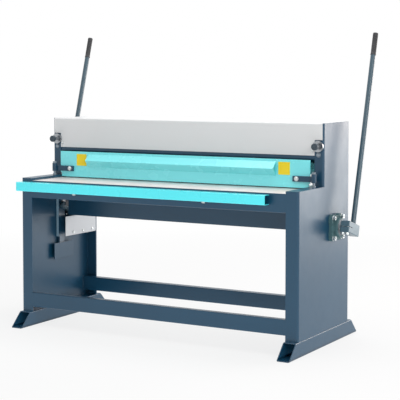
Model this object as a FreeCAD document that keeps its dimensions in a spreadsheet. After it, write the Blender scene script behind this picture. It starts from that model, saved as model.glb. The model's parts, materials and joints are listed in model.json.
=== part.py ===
import FreeCAD, Part
import os
import re
import Sketcher
from FreeCAD import Rotation, Vector

# Lever guillotine shear for sheet metal.  +X runs to the operator's right along the blades, +Y runs
# from the operator to the back and +Z is up.  The origin is the middle of the four floor anchor holes,
# on the floor.  Everything is in millimetres and drawn at rest: levers back, knife and clamp up.

# Driving sizes.  Each is one cell of the spreadsheet, named by its alias.
SIZES = {
    # frame and stand
    "machine_width": 1700, "frame_depth": 630, "frame_plate": 8, "flange_width": 70, "bend_radius": 12,
    "rim_height": 825, "rim_lip_drop": 32, "upright_setback": 300, "upright_width": 52, "upright_lap": 78,
    "foot_length": 850, "foot_width": 70, "foot_height": 80, "foot_wall": 4, "foot_corner": 6,
    "foot_front_reach": 100, "anchor_hole_diameter": 13, "anchor_inset": 35,
    "rail_height": 80, "rail_wall": 4, "rail_corner": 6, "front_rail_depth": 40, "front_rail_rise": 27,
    "rear_rail_depth": 48, "rear_rail_rise": 31,
    # table and fixed blade, measured down from the rim or the table
    "table_drop": 13, "table_thickness": 10, "rib_thickness": 8, "rib_spacing": 310,
    "apron_height": 96, "apron_plate": 6, "apron_lip_depth": 44, "apron_bend": 7,
    "bed_step": 45, "bed_beam_thickness": 15, "bed_beam_height": 214,
    "blade_thickness": 12, "blade_side_gap": 2, "lower_blade_height": 48,
    "front_bar_size": 50, "front_bar_wall": 3, "front_bar_bend": 5, "front_bar_drop": 57,
    "front_bar_short_by": 161,
    "front_bar_bolt_inset": 382, "front_bar_bolt_pitch": 804, "front_bar_bolt_reach": 35,
    # moving knife, measured up from the table or down from the hood
    "blade_gap": 0.3, "upper_blade_height": 60, "blade_rake": 1.5, "blade_opening": 30,
    "knife_plate": 15, "knife_end_step": 40, "ear_rise": 10, "knife_headroom": 70,
    "knife_edge_setback": 12, "knife_box_depth": 70, "knife_box_height": 100, "knife_box_drop": 120,
    "knife_box_wall": 5, "knife_box_inset": 80,
    "guide_block_width": 20, "guide_block_height": 172, "slide_gap": 0.3,
    "pull_plate": 16, "pull_plate_side_gap": 2, "pull_plate_front_gap": 1, "pull_plate_width": 64,
    "pull_plate_drop": 145, "pull_plate_top_gap": 20, "pull_head_rise": 10,
    "tongue_width": 46, "tongue_length": 117, "tongue_corner": 12,
    "guide_strip_depth": 10, "guide_strip_height": 122,
    "strap_plate": 6, "strap_gap": 1, "strap_reach": 58, "strap_length": 180, "strap_drop": 270,
    "strap_height": 90, "strap_spacer": 14, "strap_stroke_gap": 4,
    # torsion shaft, cranks and levers
    "shaft_step": 132, "shaft_drop": 218, "shaft_diameter": 50, "running_clearance": 0.05,
    "lever_swing": 45, "crank_radius": 98, "crank_plate": 16, "crank_gap": 4, "crank_boss_diameter": 84,
    "crank_eye_diameter": 40, "crank_pin_diameter": 16, "roller_diameter": 28, "roller_slack": 0.8,
    "roller_side_gap": 0.5,
    "bearing_flange": 137, "bearing_flange_thickness": 20, "bearing_bolt_spacing": 105,
    "bearing_boss_diameter": 100, "bearing_boss_length": 42, "bearing_corner_radius": 22,
    "bearing_waist_radius": 60, "bearing_waist_depth": 7, "insert_diameter": 85, "insert_width": 34,
    "insert_collar_diameter": 68, "insert_collar_length": 10, "frame_shaft_hole": 70,
    "hub_gap": 4, "hub_width": 50, "hub_front": 50, "hub_rear": 92, "hub_height": 60, "hub_end_wall": 10,
    "hub_slit": 3, "hub_screw_reach": 38, "hub_screw_spacing": 24, "hub_chamfer": 3,
    "lever_tilt": 16.5, "lever_offset": 58, "lever_diameter": 27, "lever_reach": 1070, "lever_foot": 28,
    "grip_diameter": 29, "grip_length": 124, "grip_cap": 6, "grip_round": 5,
    # clamp, measured up from the table and in from the clamp's ends
    "clamp_stand_off": 23, "clamp_plate": 8, "clamp_overhang": 3, "clamp_opening": 5.5,
    "clamp_height": 144.5, "clamp_foot_depth": 81, "clamp_foot_thickness": 10, "clamp_foot_end_gap": 4,
    "clamp_corner_notch": 22.5,
    "stiffener_leg": 52, "stiffener_thickness": 5, "stiffener_end_gap": 15, "stiffener_rise": 95.5,
    "clamp_arm_plate": 12, "clamp_arm_height": 29, "clamp_arm_rise": 32.5, "clamp_arm_lap": 93,
    "clamp_arm_bolt_inset": 22, "arm_boss_diameter": 26, "arm_boss_height": 44, "arm_boss_drop": 2,
    "stud_inset": 37, "stud_reach": 18, "stud_diameter": 14, "stud_collar_diameter": 20,
    "stud_collar_height": 8, "stud_head_height": 10,
    "yellow_plate_size": 66, "yellow_plate_thickness": 1.5, "yellow_plate_inset": 113,
    "yellow_plate_rise": 64.5,
    "plunger_half_spacing": 420, "plunger_beam_gap": 4, "plunger_rod_diameter": 12,
    "plunger_housing_diameter": 26, "plunger_stand_up": 10, "plunger_housing_length": 130,
    "plunger_lug_height": 70, "plunger_nut_height": 10, "plunger_rod_end": 6,
    # hood, cross beam and adjusters, measured from the hood; guards, measured from the shaft
    "hood_rise": 325, "hood_skirt": 195, "hood_front_height": 166, "hood_sheet": 3, "hood_bend": 8,
    "hood_side_gap": 2, "hood_screw_inset": 12, "hood_screw_rise": 26,
    "cross_beam_depth": 37, "cross_beam_drop": 22, "cross_beam_height": 128, "cross_beam_wall": 5,
    "cross_beam_corner": 7,
    "adjuster_inset": 30, "adjuster_rise": 48, "adjuster_plate_diameter": 58,
    "adjuster_plate_thickness": 12, "adjuster_stem_diameter": 16, "knob_diameter": 36, "knob_length": 20,
    "knob_reach": 43, "knob_round": 3, "lock_screw_drop": 44,
    "guard_sheet": 2, "guard_shaft_gap": 4, "guard_height": 113, "guard_setback": 17, "guard_post_diameter": 12,
    "guard_post_rise": 17, "guard_post_gap": 19, "guard_post_inset": 38,
    # lifting struts behind the knife
    "strut_step": 220, "strut_diameter": 24, "strut_inset": 28, "strut_length": 314,
    "strut_rod_show": 112, "strut_rod_diameter": 10, "strut_eye_diameter": 24, "strut_eye_width": 20,
    "strut_head_drop": 118, "strut_lug_plate": 8, "strut_lug_height": 36, "strut_rod_engagement": 88,
    # fasteners, with head sizes as multiples of the thread's diameter
    "small_bolt_diameter": 8, "bolt_diameter": 12, "large_bolt_diameter": 14,
    "hex_head_corners": 1.8, "hex_head_height": 0.65, "cap_head_width": 1.6, "cap_socket_corners": 0.9,
    "plunger_nut_corners": 1.9, "stud_head_corners": 1.6,
    "blade_screw_pitch": 194.5, "blade_screw_grip": 7.2,
}

# Places worked out from the driving sizes.  Every object's position and length is bound to these.
PLACES = {
    # heights
    "table_top": "rim_height - table_drop",
    "table_underside": "table_top - table_thickness",
    "rim_underside": "rim_height - frame_plate",
    "apron_bottom": "table_top - apron_height",
    "bed_beam_bottom": "table_underside - bed_beam_height",
    "front_bar_base": "table_top - front_bar_drop",
    "front_rail_base": "foot_height + front_rail_rise",
    "rear_rail_base": "foot_height + rear_rail_rise",
    "hood_top": "rim_height + hood_rise",
    "hood_base": "hood_top - hood_skirt",
    "hood_front_bottom": "hood_top - hood_front_height",
    "upright_top": "hood_front_bottom + upright_lap",
    "cross_beam_bottom": "hood_front_bottom - cross_beam_drop",
    "adjuster_height": "hood_front_bottom + adjuster_rise",
    "shaft_height": "rim_height - shaft_drop",
    "edge_low": "table_top + blade_opening",
    "edge_high": "edge_low + 2 * blade_half * tan(blade_rake * 1 deg)",
    "ear_bottom": "edge_high + knife_edge_setback + ear_rise",
    "knife_top": "hood_top - knife_headroom",
    "knife_box_base": "knife_top - knife_box_drop",
    "pull_top": "knife_top - pull_plate_top_gap",
    "pull_head_bottom": "ear_bottom + pull_head_rise",
    "pull_bottom": "shaft_height - pull_plate_drop",
    "tongue_bottom": "pull_bottom - tongue_length",
    "guide_block_bottom": "table_top - guide_block_height",
    "guide_strip_bottom": "table_top - guide_strip_height",
    "knife_stroke": "2 * crank_radius * sin(half_swing * 1 deg)",
    "strap_base": "shaft_height - strap_drop",
    "strap_spacer_top": "pull_bottom - knife_stroke - strap_stroke_gap",
    "pin_rest_z": "shaft_height + crank_radius * sin(half_swing * 1 deg)",
    "guard_top": "shaft_height - shaft_diameter / 2 - guard_shaft_gap",
    "guard_bottom": "guard_top - guard_height",
    "guard_post_height": "guard_bottom + guard_post_rise",
    "clamp_bottom": "table_top + clamp_opening",
    "clamp_foot_top": "clamp_bottom + clamp_foot_thickness",
    "stiffener_height": "clamp_bottom + stiffener_rise",
    "clamp_arm_base": "clamp_bottom + clamp_arm_rise",
    "arm_boss_base": "clamp_arm_base - arm_boss_drop",
    "arm_boss_top": "arm_boss_base + arm_boss_height",
    "arm_bolt_z": "clamp_arm_base + clamp_arm_height / 2",
    "yellow_plate_base": "clamp_bottom + yellow_plate_rise",
    "plunger_top": "knife_top + plunger_stand_up",
    "plunger_base": "plunger_top - plunger_housing_length",
    "strut_head": "knife_top - strut_head_drop",
    "strut_foot": "strut_head - strut_length",
    "strut_tube_top": "strut_head - strut_rod_show",
    # widths, from the middle outwards
    "outer_face": "machine_width / 2",
    "inner_face": "outer_face - frame_plate",
    "bay_inner": "outer_face - flange_width",
    "upright_inner": "outer_face - upright_width",
    "blade_half": "bay_inner - blade_side_gap",
    "pull_outer": "inner_face - pull_plate_side_gap",
    "pull_inner": "pull_outer - pull_plate",
    "ear_half": "pull_outer",
    "knife_half": "ear_half - knife_end_step",
    "knife_box_half": "ear_half - knife_box_inset",
    "crank_outer": "pull_inner - crank_gap",
    "crank_inner": "crank_outer - crank_plate",
    "bearing_face": "outer_face + bearing_flange_thickness",
    "bearing_end": "outer_face + bearing_boss_length",
    "insert_end": "bearing_end + insert_collar_length",
    "hub_inner": "insert_end + hub_gap",
    "hub_outer": "hub_inner + hub_width",
    "lever_x": "hub_inner + hub_width / 2",
    "shaft_end": "hub_outer - hub_end_wall",
    "clamp_half": "bay_inner + clamp_overhang",
    "clamp_foot_half": "bay_inner - clamp_foot_end_gap",
    "clamp_arm_inner": "clamp_half - clamp_arm_lap",
    "arm_bolt_x": "clamp_arm_inner + clamp_arm_bolt_inset",
    "yellow_plate_outer": "clamp_half - yellow_plate_inset",
    "yellow_plate_inner": "yellow_plate_outer - yellow_plate_size",
    "stiffener_half": "yellow_plate_inner - stiffener_end_gap",
    "stud_x": "outer_face - stud_inset",
    "guard_outer": "bay_inner + guard_sheet",
    "adjuster_x": "outer_face - adjuster_inset",
    "strut_x": "outer_face - strut_inset",
    "strut_eye_inner": "strut_x - strut_eye_width / 2",
    "strut_eye_outer": "strut_x + strut_eye_width / 2",
    "strut_lug_outer": "strut_eye_inner - slide_gap",
    "strut_lug_inner": "strut_lug_outer - strut_lug_plate",
    "bar_right_end": "outer_face - front_bar_short_by",
    # depths, from the front to the back
    "foot_end": "foot_length / 2",
    "anchor_y": "foot_end - anchor_inset",
    "post_front": "foot_front_reach - foot_length / 2",
    "post_rear": "post_front + frame_depth",
    "upright_front": "post_front + upright_setback",
    "upright_back": "upright_front + frame_plate",
    "hood_front_back": "upright_front + hood_sheet",
    "beam_back": "hood_front_back + cross_beam_depth",
    "adjuster_plate_front": "upright_front - adjuster_plate_thickness",
    "knob_face": "adjuster_plate_front - slide_gap - knob_reach",
    "knob_back": "knob_face + knob_length",
    "clamp_front": "upright_front - clamp_stand_off",
    "clamp_back": "clamp_front + clamp_plate",
    "clamp_foot_back": "clamp_back + clamp_foot_depth",
    "arm_front": "clamp_front - clamp_arm_plate",
    "stud_y": "clamp_front - stud_reach",
    "bed_front": "upright_front + bed_step",
    "bed_back": "bed_front + bed_beam_thickness",
    "shear_plane": "bed_back + blade_thickness",
    "plunger_y": "beam_back + plunger_beam_gap + plunger_housing_diameter / 2",
    "knife_blade_front": "shear_plane + blade_gap",
    "knife_front": "knife_blade_front + blade_thickness",
    "knife_back": "knife_front + knife_plate",
    "pull_front": "upright_back + pull_plate_front_gap",
    "pull_back": "pull_front + pull_plate_width",
    "tongue_front": "pull_front + (pull_plate_width - tongue_width) / 2",
    "tongue_back": "tongue_front + tongue_width",
    "strap_front": "tongue_front - strap_reach",
    "shaft_y": "upright_front + shaft_step",
    "half_swing": "lever_swing / 2",
    "pin_rest_y": "shaft_y - crank_radius * cos(half_swing * 1 deg)",
    "pin_middle_y": "shaft_y - crank_radius",
    "slot_radius": "roller_diameter / 2 + roller_slack",
    "guard_post_first": "pull_back + guard_post_gap",
    "guard_post_last": "post_rear - frame_plate - guard_post_inset",
    "strut_y": "upright_front + strut_step",
}

doc = FreeCAD.newDocument("GuillotineShear")
sheet = doc.addObject("Spreadsheet::Sheet", "Dims")
for row, (alias, size) in enumerate(SIZES.items(), 1):
    sheet.set("A%d" % row, alias)
    sheet.set("B%d" % row, str(size))
    sheet.setAlias("B%d" % row, alias)
doc.recompute()

pieces = []


def sized(text):
    """Turns the words of a length or place into an expression on the spreadsheet's cells."""
    def replace(match):
        word = match.group(0)
        if word in SIZES:
            return "Dims." + word
        if word in PLACES:
            return "(" + sized(PLACES[word]) + ")"
        return word
    return re.sub(r"[a-z][a-z_]*", replace, text)


def number(text):
    """The value of a length or place now, for the features that take no expression."""
    return float(sheet.evalExpression(sized(text)))


def piece(label, shape):
    """Names a finished sub-part."""
    shape.Label = label
    pieces.append(shape)
    return shape


def beside(sign, near, far):
    """A span between two distances from the middle, on the right (1) or on the left (-1)."""
    return (near, far) if sign > 0 else ("-(%s)" % far, "-(%s)" % near)


def at(sign, distance):
    """A place at a distance from the middle, on the right (1) or on the left (-1)."""
    return distance if sign > 0 else "-(%s)" % distance


def bind_box(block, x, y, z):
    spans = zip("xyz", ("Length", "Width", "Height"), (x, y, z))
    for axis, side, (low, high) in spans:
        block.setExpression(side, sized("(%s) - (%s)" % (high, low)))
        block.setExpression("Placement.Base." + axis, sized(low))
    return block


TURN = {"x": Rotation(Vector(0, 1, 0), 90), "y": Rotation(Vector(1, 0, 0), -90), "z": Rotation()}


def bind_round(solid, axis, span, centre, length_name="Height"):
    """Lays a round or hexagonal solid along an axis, its centre on the other two axes."""
    low, high = span
    solid.Placement = FreeCAD.Placement(Vector(), TURN[axis])
    solid.setExpression(length_name, sized("(%s) - (%s)" % (high, low)))
    others = iter(centre)
    for name in "xyz":
        place = low if name == axis else next(others)
        solid.setExpression("Placement.Base." + name, sized(place))
    return solid


def box(name, x, y, z):
    return bind_box(doc.addObject("Part::Box", name), x, y, z)


def rod(name, axis, diameter, span, centre):
    solid = doc.addObject("Part::Cylinder", name)
    solid.setExpression("Radius", sized("(%s) / 2" % diameter))
    return bind_round(solid, axis, span, centre)


def hexagon(name, axis, across_corners, span, centre):
    solid = doc.addObject("Part::Prism", name)
    solid.Polygon = 6
    solid.setExpression("Circumradius", sized("(%s) / 2" % across_corners))
    return bind_round(solid, axis, span, centre)


def fuse(name, solids):
    joined = doc.addObject("Part::MultiFuse", name)
    joined.Shapes = solids
    joined.Refine = True
    return joined


def group(name, solids):
    """Several separate solids of one kind under one name."""
    gathered = doc.addObject("Part::Compound", name)
    gathered.Links = solids
    return gathered


def cut(name, base, tools):
    removed = doc.addObject("Part::Cut", name)
    removed.Base = base
    removed.Tool = tools[0] if len(tools) == 1 else group(name + "_tools", tools)
    removed.Refine = True
    return removed


def turn_about_shaft(shape, angle):
    """Turns a piece drawn about the X axis, and sets it on the torsion shaft's centre."""
    shape.Placement = FreeCAD.Placement(Vector(), Rotation(Vector(1, 0, 0), 1))
    shape.setExpression("Placement.Rotation.Angle", sized(angle))
    shape.setExpression("Placement.Base.y", sized("shaft_y"))
    shape.setExpression("Placement.Base.z", sized("shaft_height"))
    return shape


def body(name):
    return doc.addObject("PartDesign::Body", name)


def body_box(owner, kind, name, x, y, z):
    """Adds or takes a block from a body; kind is Additive or Subtractive."""
    return bind_box(owner.newObject("PartDesign::%sBox" % kind, name), x, y, z)


def body_rod(owner, kind, name, axis, diameter, span, centre):
    solid = owner.newObject("PartDesign::%sCylinder" % kind, name)
    solid.setExpression("Radius", sized("(%s) / 2" % diameter))
    return bind_round(solid, axis, span, centre)


def outline_sketch(owner, name, role, points):
    """A closed outline on one of the body's own planes, each corner held by two dimensions."""
    plane = [feature for feature in owner.Origin.OriginFeatures if feature.Role == role][0]
    sketch = owner.newObject("Sketcher::SketchObject", name)
    sketch.AttachmentSupport = [(plane, "")]
    sketch.MapMode = "FlatFace"
    corners = [(number(u), number(v)) for u, v in points]
    count = len(points)
    for index, start in enumerate(corners):
        end = corners[(index + 1) % count]
        sketch.addGeometry(Part.LineSegment(Vector(*start, 0), Vector(*end, 0)), False)
    for index in range(count):
        sketch.addConstraint(Sketcher.Constraint("Coincident", index, 2, (index + 1) % count, 1))
    for index, place in enumerate(points):
        for kind, value, text in zip("XY", corners[index], place):
            held = sketch.addConstraint(Sketcher.Constraint("Distance" + kind, -1, 1, index, 1, value))
            label = "corner%d%s" % (index, kind)
            sketch.renameConstraint(held, label)
            sketch.setExpression("Constraints." + label, sized(text))
    return sketch


def pad(owner, name, sketch, thickness, backwards=False):
    feature = owner.newObject("PartDesign::Pad", name)
    feature.Profile = sketch
    feature.Reversed = backwards
    feature.setExpression("Length", sized(thickness))
    return feature


def edges_where(shape, test):
    """The names of a shape's edges whose middle point passes a test."""
    chosen = []
    for index, edge in enumerate(shape.Edges, 1):
        if test(edge, edge.valueAt((edge.FirstParameter + edge.LastParameter) / 2)):
            chosen.append("Edge%d" % index)
    return chosen


def soften(owner, name, kind, size, test):
    """Rounds or bevels the edges of a body that pass a test; kind is Fillet or Chamfer."""
    doc.recompute()
    base = owner.Tip
    feature = owner.newObject("PartDesign::" + kind, name)
    feature.Base = (base, edges_where(base.Shape, test))
    feature.setExpression("Radius" if kind == "Fillet" else "Size", sized(size))
    return feature


def near(value, place):
    return abs(value - number(place)) < 0.01


SIDES = (("left", -1), ("right", 1))

BEARING_BOLTS = [("shaft_y %s bearing_bolt_spacing / 2" % a, "shaft_height %s bearing_bolt_spacing / 2" % b)
                 for a in "-+" for b in "-+"]
GUARD_POSTS = ["guard_post_first", "(guard_post_first + guard_post_last) / 2", "guard_post_last"]
BLADE_SCREWS = ["%d * blade_screw_pitch / 2" % n for n in range(-7, 8, 2)]
BEAM_BOLTS = ["pull_head_bottom + %d * (pull_top - pull_head_bottom) / 6" % n
              for n in (1, 3, 5)]


def hex_bolt(name, axis, sign, seat, grip, diameter, centre):
    """A hexagon bolt whose head stands on its seat, on the side that sign gives."""
    head = "hex_head_height * " + diameter
    span = (seat, "%s + %s" % (seat, head)) if sign > 0 else ("%s - %s" % (seat, head), seat)
    shank = ("%s - (%s)" % (seat, grip), seat) if sign > 0 else (seat, "%s + (%s)" % (seat, grip))
    return fuse(name, [hexagon(name + "_head", axis, "hex_head_corners * " + diameter, span, centre),
                       rod(name + "_shank", axis, diameter, shank, centre)])


def cap_screw(name, axis, sign, seat, grip, diameter, centre):
    """A socket head cap screw whose head stands on its seat, on the side that sign gives."""
    if sign > 0:
        head = (seat, "%s + %s" % (seat, diameter))
        shank = ("%s - (%s)" % (seat, grip), seat)
        socket = ("%s + %s / 2" % (seat, diameter), "%s + %s" % (seat, diameter))
    else:
        head = ("%s - %s" % (seat, diameter), seat)
        shank = (seat, "%s + (%s)" % (seat, grip))
        socket = ("%s - %s" % (seat, diameter), "%s - %s / 2" % (seat, diameter))
    solid = fuse(name + "_solid", [rod(name + "_head", axis, "cap_head_width * " + diameter, head, centre),
                                   rod(name + "_shank", axis, diameter, shank, centre)])
    return cut(name, solid, [hexagon(name + "_socket", axis, "cap_socket_corners * " + diameter, socket,
                                     centre)])


def tube(name, x, y, z, wall, corner):
    """A rectangular tube along X with open ends and rounded long corners."""
    owner = body(name)
    body_box(owner, "Additive", name + "_outer", x, y, z)
    soften(owner, name + "_corners", "Fillet", corner, lambda edge, middle: edge.BoundBox.XLength > 1)
    inner_y, inner_z = [("%s + %s" % (low, wall), "%s - %s" % (high, wall)) for low, high in (y, z)]
    body_box(owner, "Subtractive", name + "_bore", x, inner_y, inner_z)
    return owner


def foot(side, sign):
    """A mitred rectangular tube that lies on the floor, with two anchor holes in its open ends."""
    owner = body(side + "_foot_body")
    outline = outline_sketch(owner, side + "_foot_outline", "YZ_Plane", [
        ("-foot_end", "0"), ("foot_end", "0"),
        ("foot_end - foot_height", "foot_height"), ("foot_height - foot_end", "foot_height")])
    pad(owner, side + "_foot_block", outline, "foot_width")
    inner_side = beside(sign, "outer_face - foot_width", "outer_face")[0]
    owner.setExpression("Placement.Base.x", sized(inner_side))
    soften(owner, side + "_foot_corners", "Fillet", "foot_corner",
           lambda edge, middle: edge.BoundBox.XLength < 1 and edge.BoundBox.ZLength < 1)
    body_box(owner, "Subtractive", side + "_foot_bore", ("foot_wall", "foot_width - foot_wall"),
             ("-foot_end", "foot_end"), ("foot_wall", "foot_height - foot_wall"))
    for end, mark in (("front", "-"), ("rear", "")):
        body_rod(owner, "Subtractive", "%s_foot_%s_anchor" % (side, end), "z", "anchor_hole_diameter",
                 ("0", "foot_wall"), ("foot_width / 2", mark + "anchor_y"))
    return piece(side + "_foot", owner)


def side_frame(side, sign):
    """The folded and welded end of the machine: a lower channel, its rim and the upright above it."""
    owner = body(side + "_frame_body")
    name = side + "_frame_"

    def block(kind, label, near_x, far_x, y, z):
        body_box(owner, kind, name + label, beside(sign, near_x, far_x), y, z)

    block("Additive", "channel", "bay_inner", "outer_face", ("post_front", "post_rear"),
          ("foot_height", "rim_height"))
    block("Additive", "upright", "upright_inner", "outer_face", ("upright_front", "post_rear"),
          ("rim_height", "hood_top"))
    block("Subtractive", "bay", "bay_inner", "inner_face",
          ("post_front + frame_plate", "post_rear - frame_plate"), ("foot_height", "rim_underside"))
    block("Subtractive", "well", "bay_inner", "inner_face",
          ("upright_back", "post_rear - frame_plate"), ("rim_underside", "hood_top"))
    block("Subtractive", "upright_head", "upright_inner", "inner_face",
          ("upright_front", "upright_back"), ("upright_top", "hood_top"))
    block("Subtractive", "rear_head", "upright_inner", "inner_face",
          ("post_rear - frame_plate", "post_rear"), ("hood_base", "hood_top"))
    outer = at(sign, "outer_face")
    soften(owner, name + "outer_bends", "Fillet", "bend_radius",
           lambda edge, middle: near(middle.x, outer) and edge.BoundBox.ZLength > edge.BoundBox.YLength
           and (near(middle.y, "post_front") or near(middle.y, "post_rear")
                or near(middle.y, "upright_front")))
    block("Additive", "lip", "bay_inner", "bay_inner + frame_plate",
          ("post_front + frame_plate", "bed_front"), ("rim_underside - rim_lip_drop", "rim_underside"))
    for index, place in enumerate(GUARD_POSTS):
        body_rod(owner, "Additive", name + "post%d" % index, "x", "guard_post_diameter",
                 beside(sign, "guard_outer", "inner_face"), (place, "guard_post_height"))
        body_rod(owner, "Subtractive", name + "post_hole%d" % index, "x", "small_bolt_diameter",
                 beside(sign, "guard_outer", "guard_outer + 2 * small_bolt_diameter"),
                 (place, "guard_post_height"))
    through = beside(sign, "inner_face", "outer_face")
    body_rod(owner, "Subtractive", name + "shaft_hole", "x", "frame_shaft_hole", through,
             ("shaft_y", "shaft_height"))
    for index, place in enumerate(BEARING_BOLTS):
        body_rod(owner, "Subtractive", name + "bearing_hole%d" % index, "x", "large_bolt_diameter",
                 through, place)
    body_rod(owner, "Subtractive", name + "adjuster_hole", "y",
             "adjuster_stem_diameter + 2 * running_clearance", ("upright_front", "upright_back"),
             (at(sign, "adjuster_x"), "adjuster_height"))
    body_rod(owner, "Subtractive", name + "lock_screw_hole", "y", "bolt_diameter",
             ("upright_front", "upright_back"),
             (at(sign, "adjuster_x"), "adjuster_height - lock_screw_drop"))
    body_rod(owner, "Subtractive", name + "stud_hole", "z", "stud_diameter",
             ("rim_underside", "rim_height"), (at(sign, "stud_x"), "stud_y"))
    return piece(side + "_side_frame", owner)


def stand():
    for side, sign in SIDES:
        foot(side, sign)
    for side, sign in SIDES:
        side_frame(side, sign)
    piece("front_rail", tube("front_rail_tube", ("-bay_inner", "bay_inner"),
                             ("post_front", "post_front + front_rail_depth"),
                             ("front_rail_base", "front_rail_base + rail_height"), "rail_wall",
                             "rail_corner"))
    rear = "post_rear - frame_plate"
    piece("rear_rail", tube("rear_rail_tube", ("-inner_face", "inner_face"),
                            (rear + " - rear_rail_depth", rear),
                            ("rear_rail_base", "rear_rail_base + rail_height"), "rail_wall",
                            "rail_corner"))
    piece("cross_beam", cross_beam())


def cross_beam():
    beam = tube("cross_beam_tube", ("-upright_inner", "upright_inner"), ("hood_front_back", "beam_back"),
                ("cross_beam_bottom", "cross_beam_bottom + cross_beam_height"), "cross_beam_wall",
                "cross_beam_corner")
    for side, sign in SIDES:
        body_rod(beam, "Subtractive", "cross_beam_hole_" + side, "y", "small_bolt_diameter",
                 ("hood_front_back", "hood_front_back + cross_beam_wall"), HOOD_SCREW[side])
    return beam


HOOD_SCREW = {side: (at(sign, "upright_inner - hood_screw_inset"), "hood_front_bottom + hood_screw_rise")
              for side, sign in SIDES}


def table():
    apron = body("apron_body")
    body_box(apron, "Additive", "apron_face", ("-bay_inner", "bay_inner"),
             ("post_front", "post_front + apron_plate"), ("apron_bottom", "table_top"))
    body_box(apron, "Additive", "apron_lip", ("-bay_inner", "bay_inner"),
             ("post_front", "post_front + apron_lip_depth"), ("apron_bottom", "apron_bottom + apron_plate"))
    soften(apron, "apron_bend_round", "Fillet", "apron_bend",
           lambda edge, middle: near(middle.y, "post_front") and near(middle.z, "apron_bottom"))
    piece("apron", apron)

    piece("table_plate", box("table_block", ("-bay_inner", "bay_inner"),
                             ("post_front + apron_plate", "bed_back"), ("table_underside", "table_top")))
    ribs = []
    rib_y = ("post_front + apron_plate", "bed_front")
    rib_z = ("apron_bottom + apron_plate", "table_underside")
    for index in range(-2, 3):
        rib_x = ["%d * rib_spacing %s rib_thickness / 2" % (index, edge) for edge in "-+"]
        ribs.append(box("rib%d" % (index + 2), rib_x, rib_y, rib_z))
    for side, sign in SIDES:
        ribs.append(box("rib_" + side, beside(sign, "bay_inner - rib_thickness", "bay_inner"), rib_y, rib_z))
    piece("table_ribs", group("rib_group", ribs))

    blade_low = "table_top - lower_blade_height"
    screw_z = "table_top - lower_blade_height / 2"
    screw_tip = "bed_back + blade_screw_grip"
    beam = box("bed_beam_plate", ("-bay_inner", "bay_inner"), ("bed_front", "bed_back"),
               ("bed_beam_bottom", "table_underside"))
    blade = box("lower_blade_bar", ("-blade_half", "blade_half"), ("bed_back", "shear_plane"),
                (blade_low, "table_top"))
    piece("bed_beam", cut("bed_beam_drilled", beam, [
        rod("bed_hole%d" % n, "y", "small_bolt_diameter", ("bed_front", "bed_back"), (x, screw_z))
        for n, x in enumerate(BLADE_SCREWS)]))
    piece("lower_blade", cut("lower_blade_drilled", blade, [
        rod("lower_blade_hole%d" % n, "y", "small_bolt_diameter", ("bed_back", screw_tip), (x, screw_z))
        for n, x in enumerate(BLADE_SCREWS)]))
    piece("lower_blade_screws", group("lower_blade_screw_group", [
        hex_bolt("lower_blade_screw%d" % n, "y", -1, "bed_front", screw_tip + " - (bed_front)",
                 "small_bolt_diameter", (x, screw_z)) for n, x in enumerate(BLADE_SCREWS)]))
    piece("guide_blocks", group("guide_block_group", [
        box("guide_block_" + side, beside(sign, "bay_inner", "bay_inner + guide_block_width"),
            ("bed_front", "knife_front - slide_gap"), ("guide_block_bottom", "table_top"))
        for side, sign in SIDES]))
    piece("front_bar", front_bar())


BAR_BOLTS = ["front_bar_bolt_inset - outer_face", "front_bar_bolt_inset - outer_face + front_bar_bolt_pitch"]


def front_bar():
    """A folded channel along the apron, open to the apron and at its ends, with two bolts from below."""
    channel = body("front_bar_channel")
    x = ("-outer_face", "bar_right_end")
    y = ("post_front - front_bar_size", "post_front")
    z = ("front_bar_base", "front_bar_base + front_bar_size")
    body_box(channel, "Additive", "front_bar_block", x, y, z)
    soften(channel, "front_bar_bends", "Fillet", "front_bar_bend",
           lambda edge, middle: edge.BoundBox.XLength > 1 and near(middle.y, y[0]))
    body_box(channel, "Subtractive", "front_bar_hollow", x, (y[0] + " + front_bar_wall", y[1]),
             (z[0] + " + front_bar_wall", z[1] + " - front_bar_wall"))
    bolt_y = "post_front - front_bar_bolt_reach"
    for n, place in enumerate(BAR_BOLTS):
        body_rod(channel, "Subtractive", "front_bar_hole%d" % n, "z", "bolt_diameter",
                 (z[0], z[0] + " + front_bar_wall"), (place, bolt_y))
    piece("front_bar_bolts", group("front_bar_bolt_group", [
        hex_bolt("front_bar_bolt%d" % n, "z", -1, z[0], "2 * bolt_diameter", "bolt_diameter",
                 (place, bolt_y)) for n, place in enumerate(BAR_BOLTS)]))
    return channel


def guides():
    """What keeps the pull plates upright: strips at their edges and a strap round each tongue."""
    strips = []
    for side, sign in SIDES:
        x = beside(sign, "pull_inner", "inner_face")
        z = ("guide_strip_bottom", "table_top")
        strips.append(box("guide_strip_front_" + side, x,
                          ("pull_front - slide_gap - guide_strip_depth", "pull_front - slide_gap"), z))
        strips.append(box("guide_strip_back_" + side, x,
                          ("pull_back + slide_gap", "pull_back + slide_gap + guide_strip_depth"), z))
        strap_z = ("strap_base", "strap_base + strap_height")
        web = box("strap_web_" + side,
                  beside(sign, "pull_inner - strap_gap - strap_plate", "pull_inner - strap_gap"),
                  ("strap_front", "strap_front + strap_length"), strap_z)
        spacer_x = beside(sign, "pull_inner - strap_gap", "inner_face")
        spacer_z = ("strap_base", "strap_spacer_top")
        front = box("strap_front_" + side, spacer_x,
                    ("tongue_front - slide_gap - strap_spacer", "tongue_front - slide_gap"), spacer_z)
        back = box("strap_back_" + side, spacer_x,
                   ("tongue_back + slide_gap", "tongue_back + slide_gap + strap_spacer"), spacer_z)
        piece(side + "_guide_strap", fuse("strap_" + side, [web, front, back]))
    piece("guide_strips", group("guide_strip_group", strips))


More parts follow.
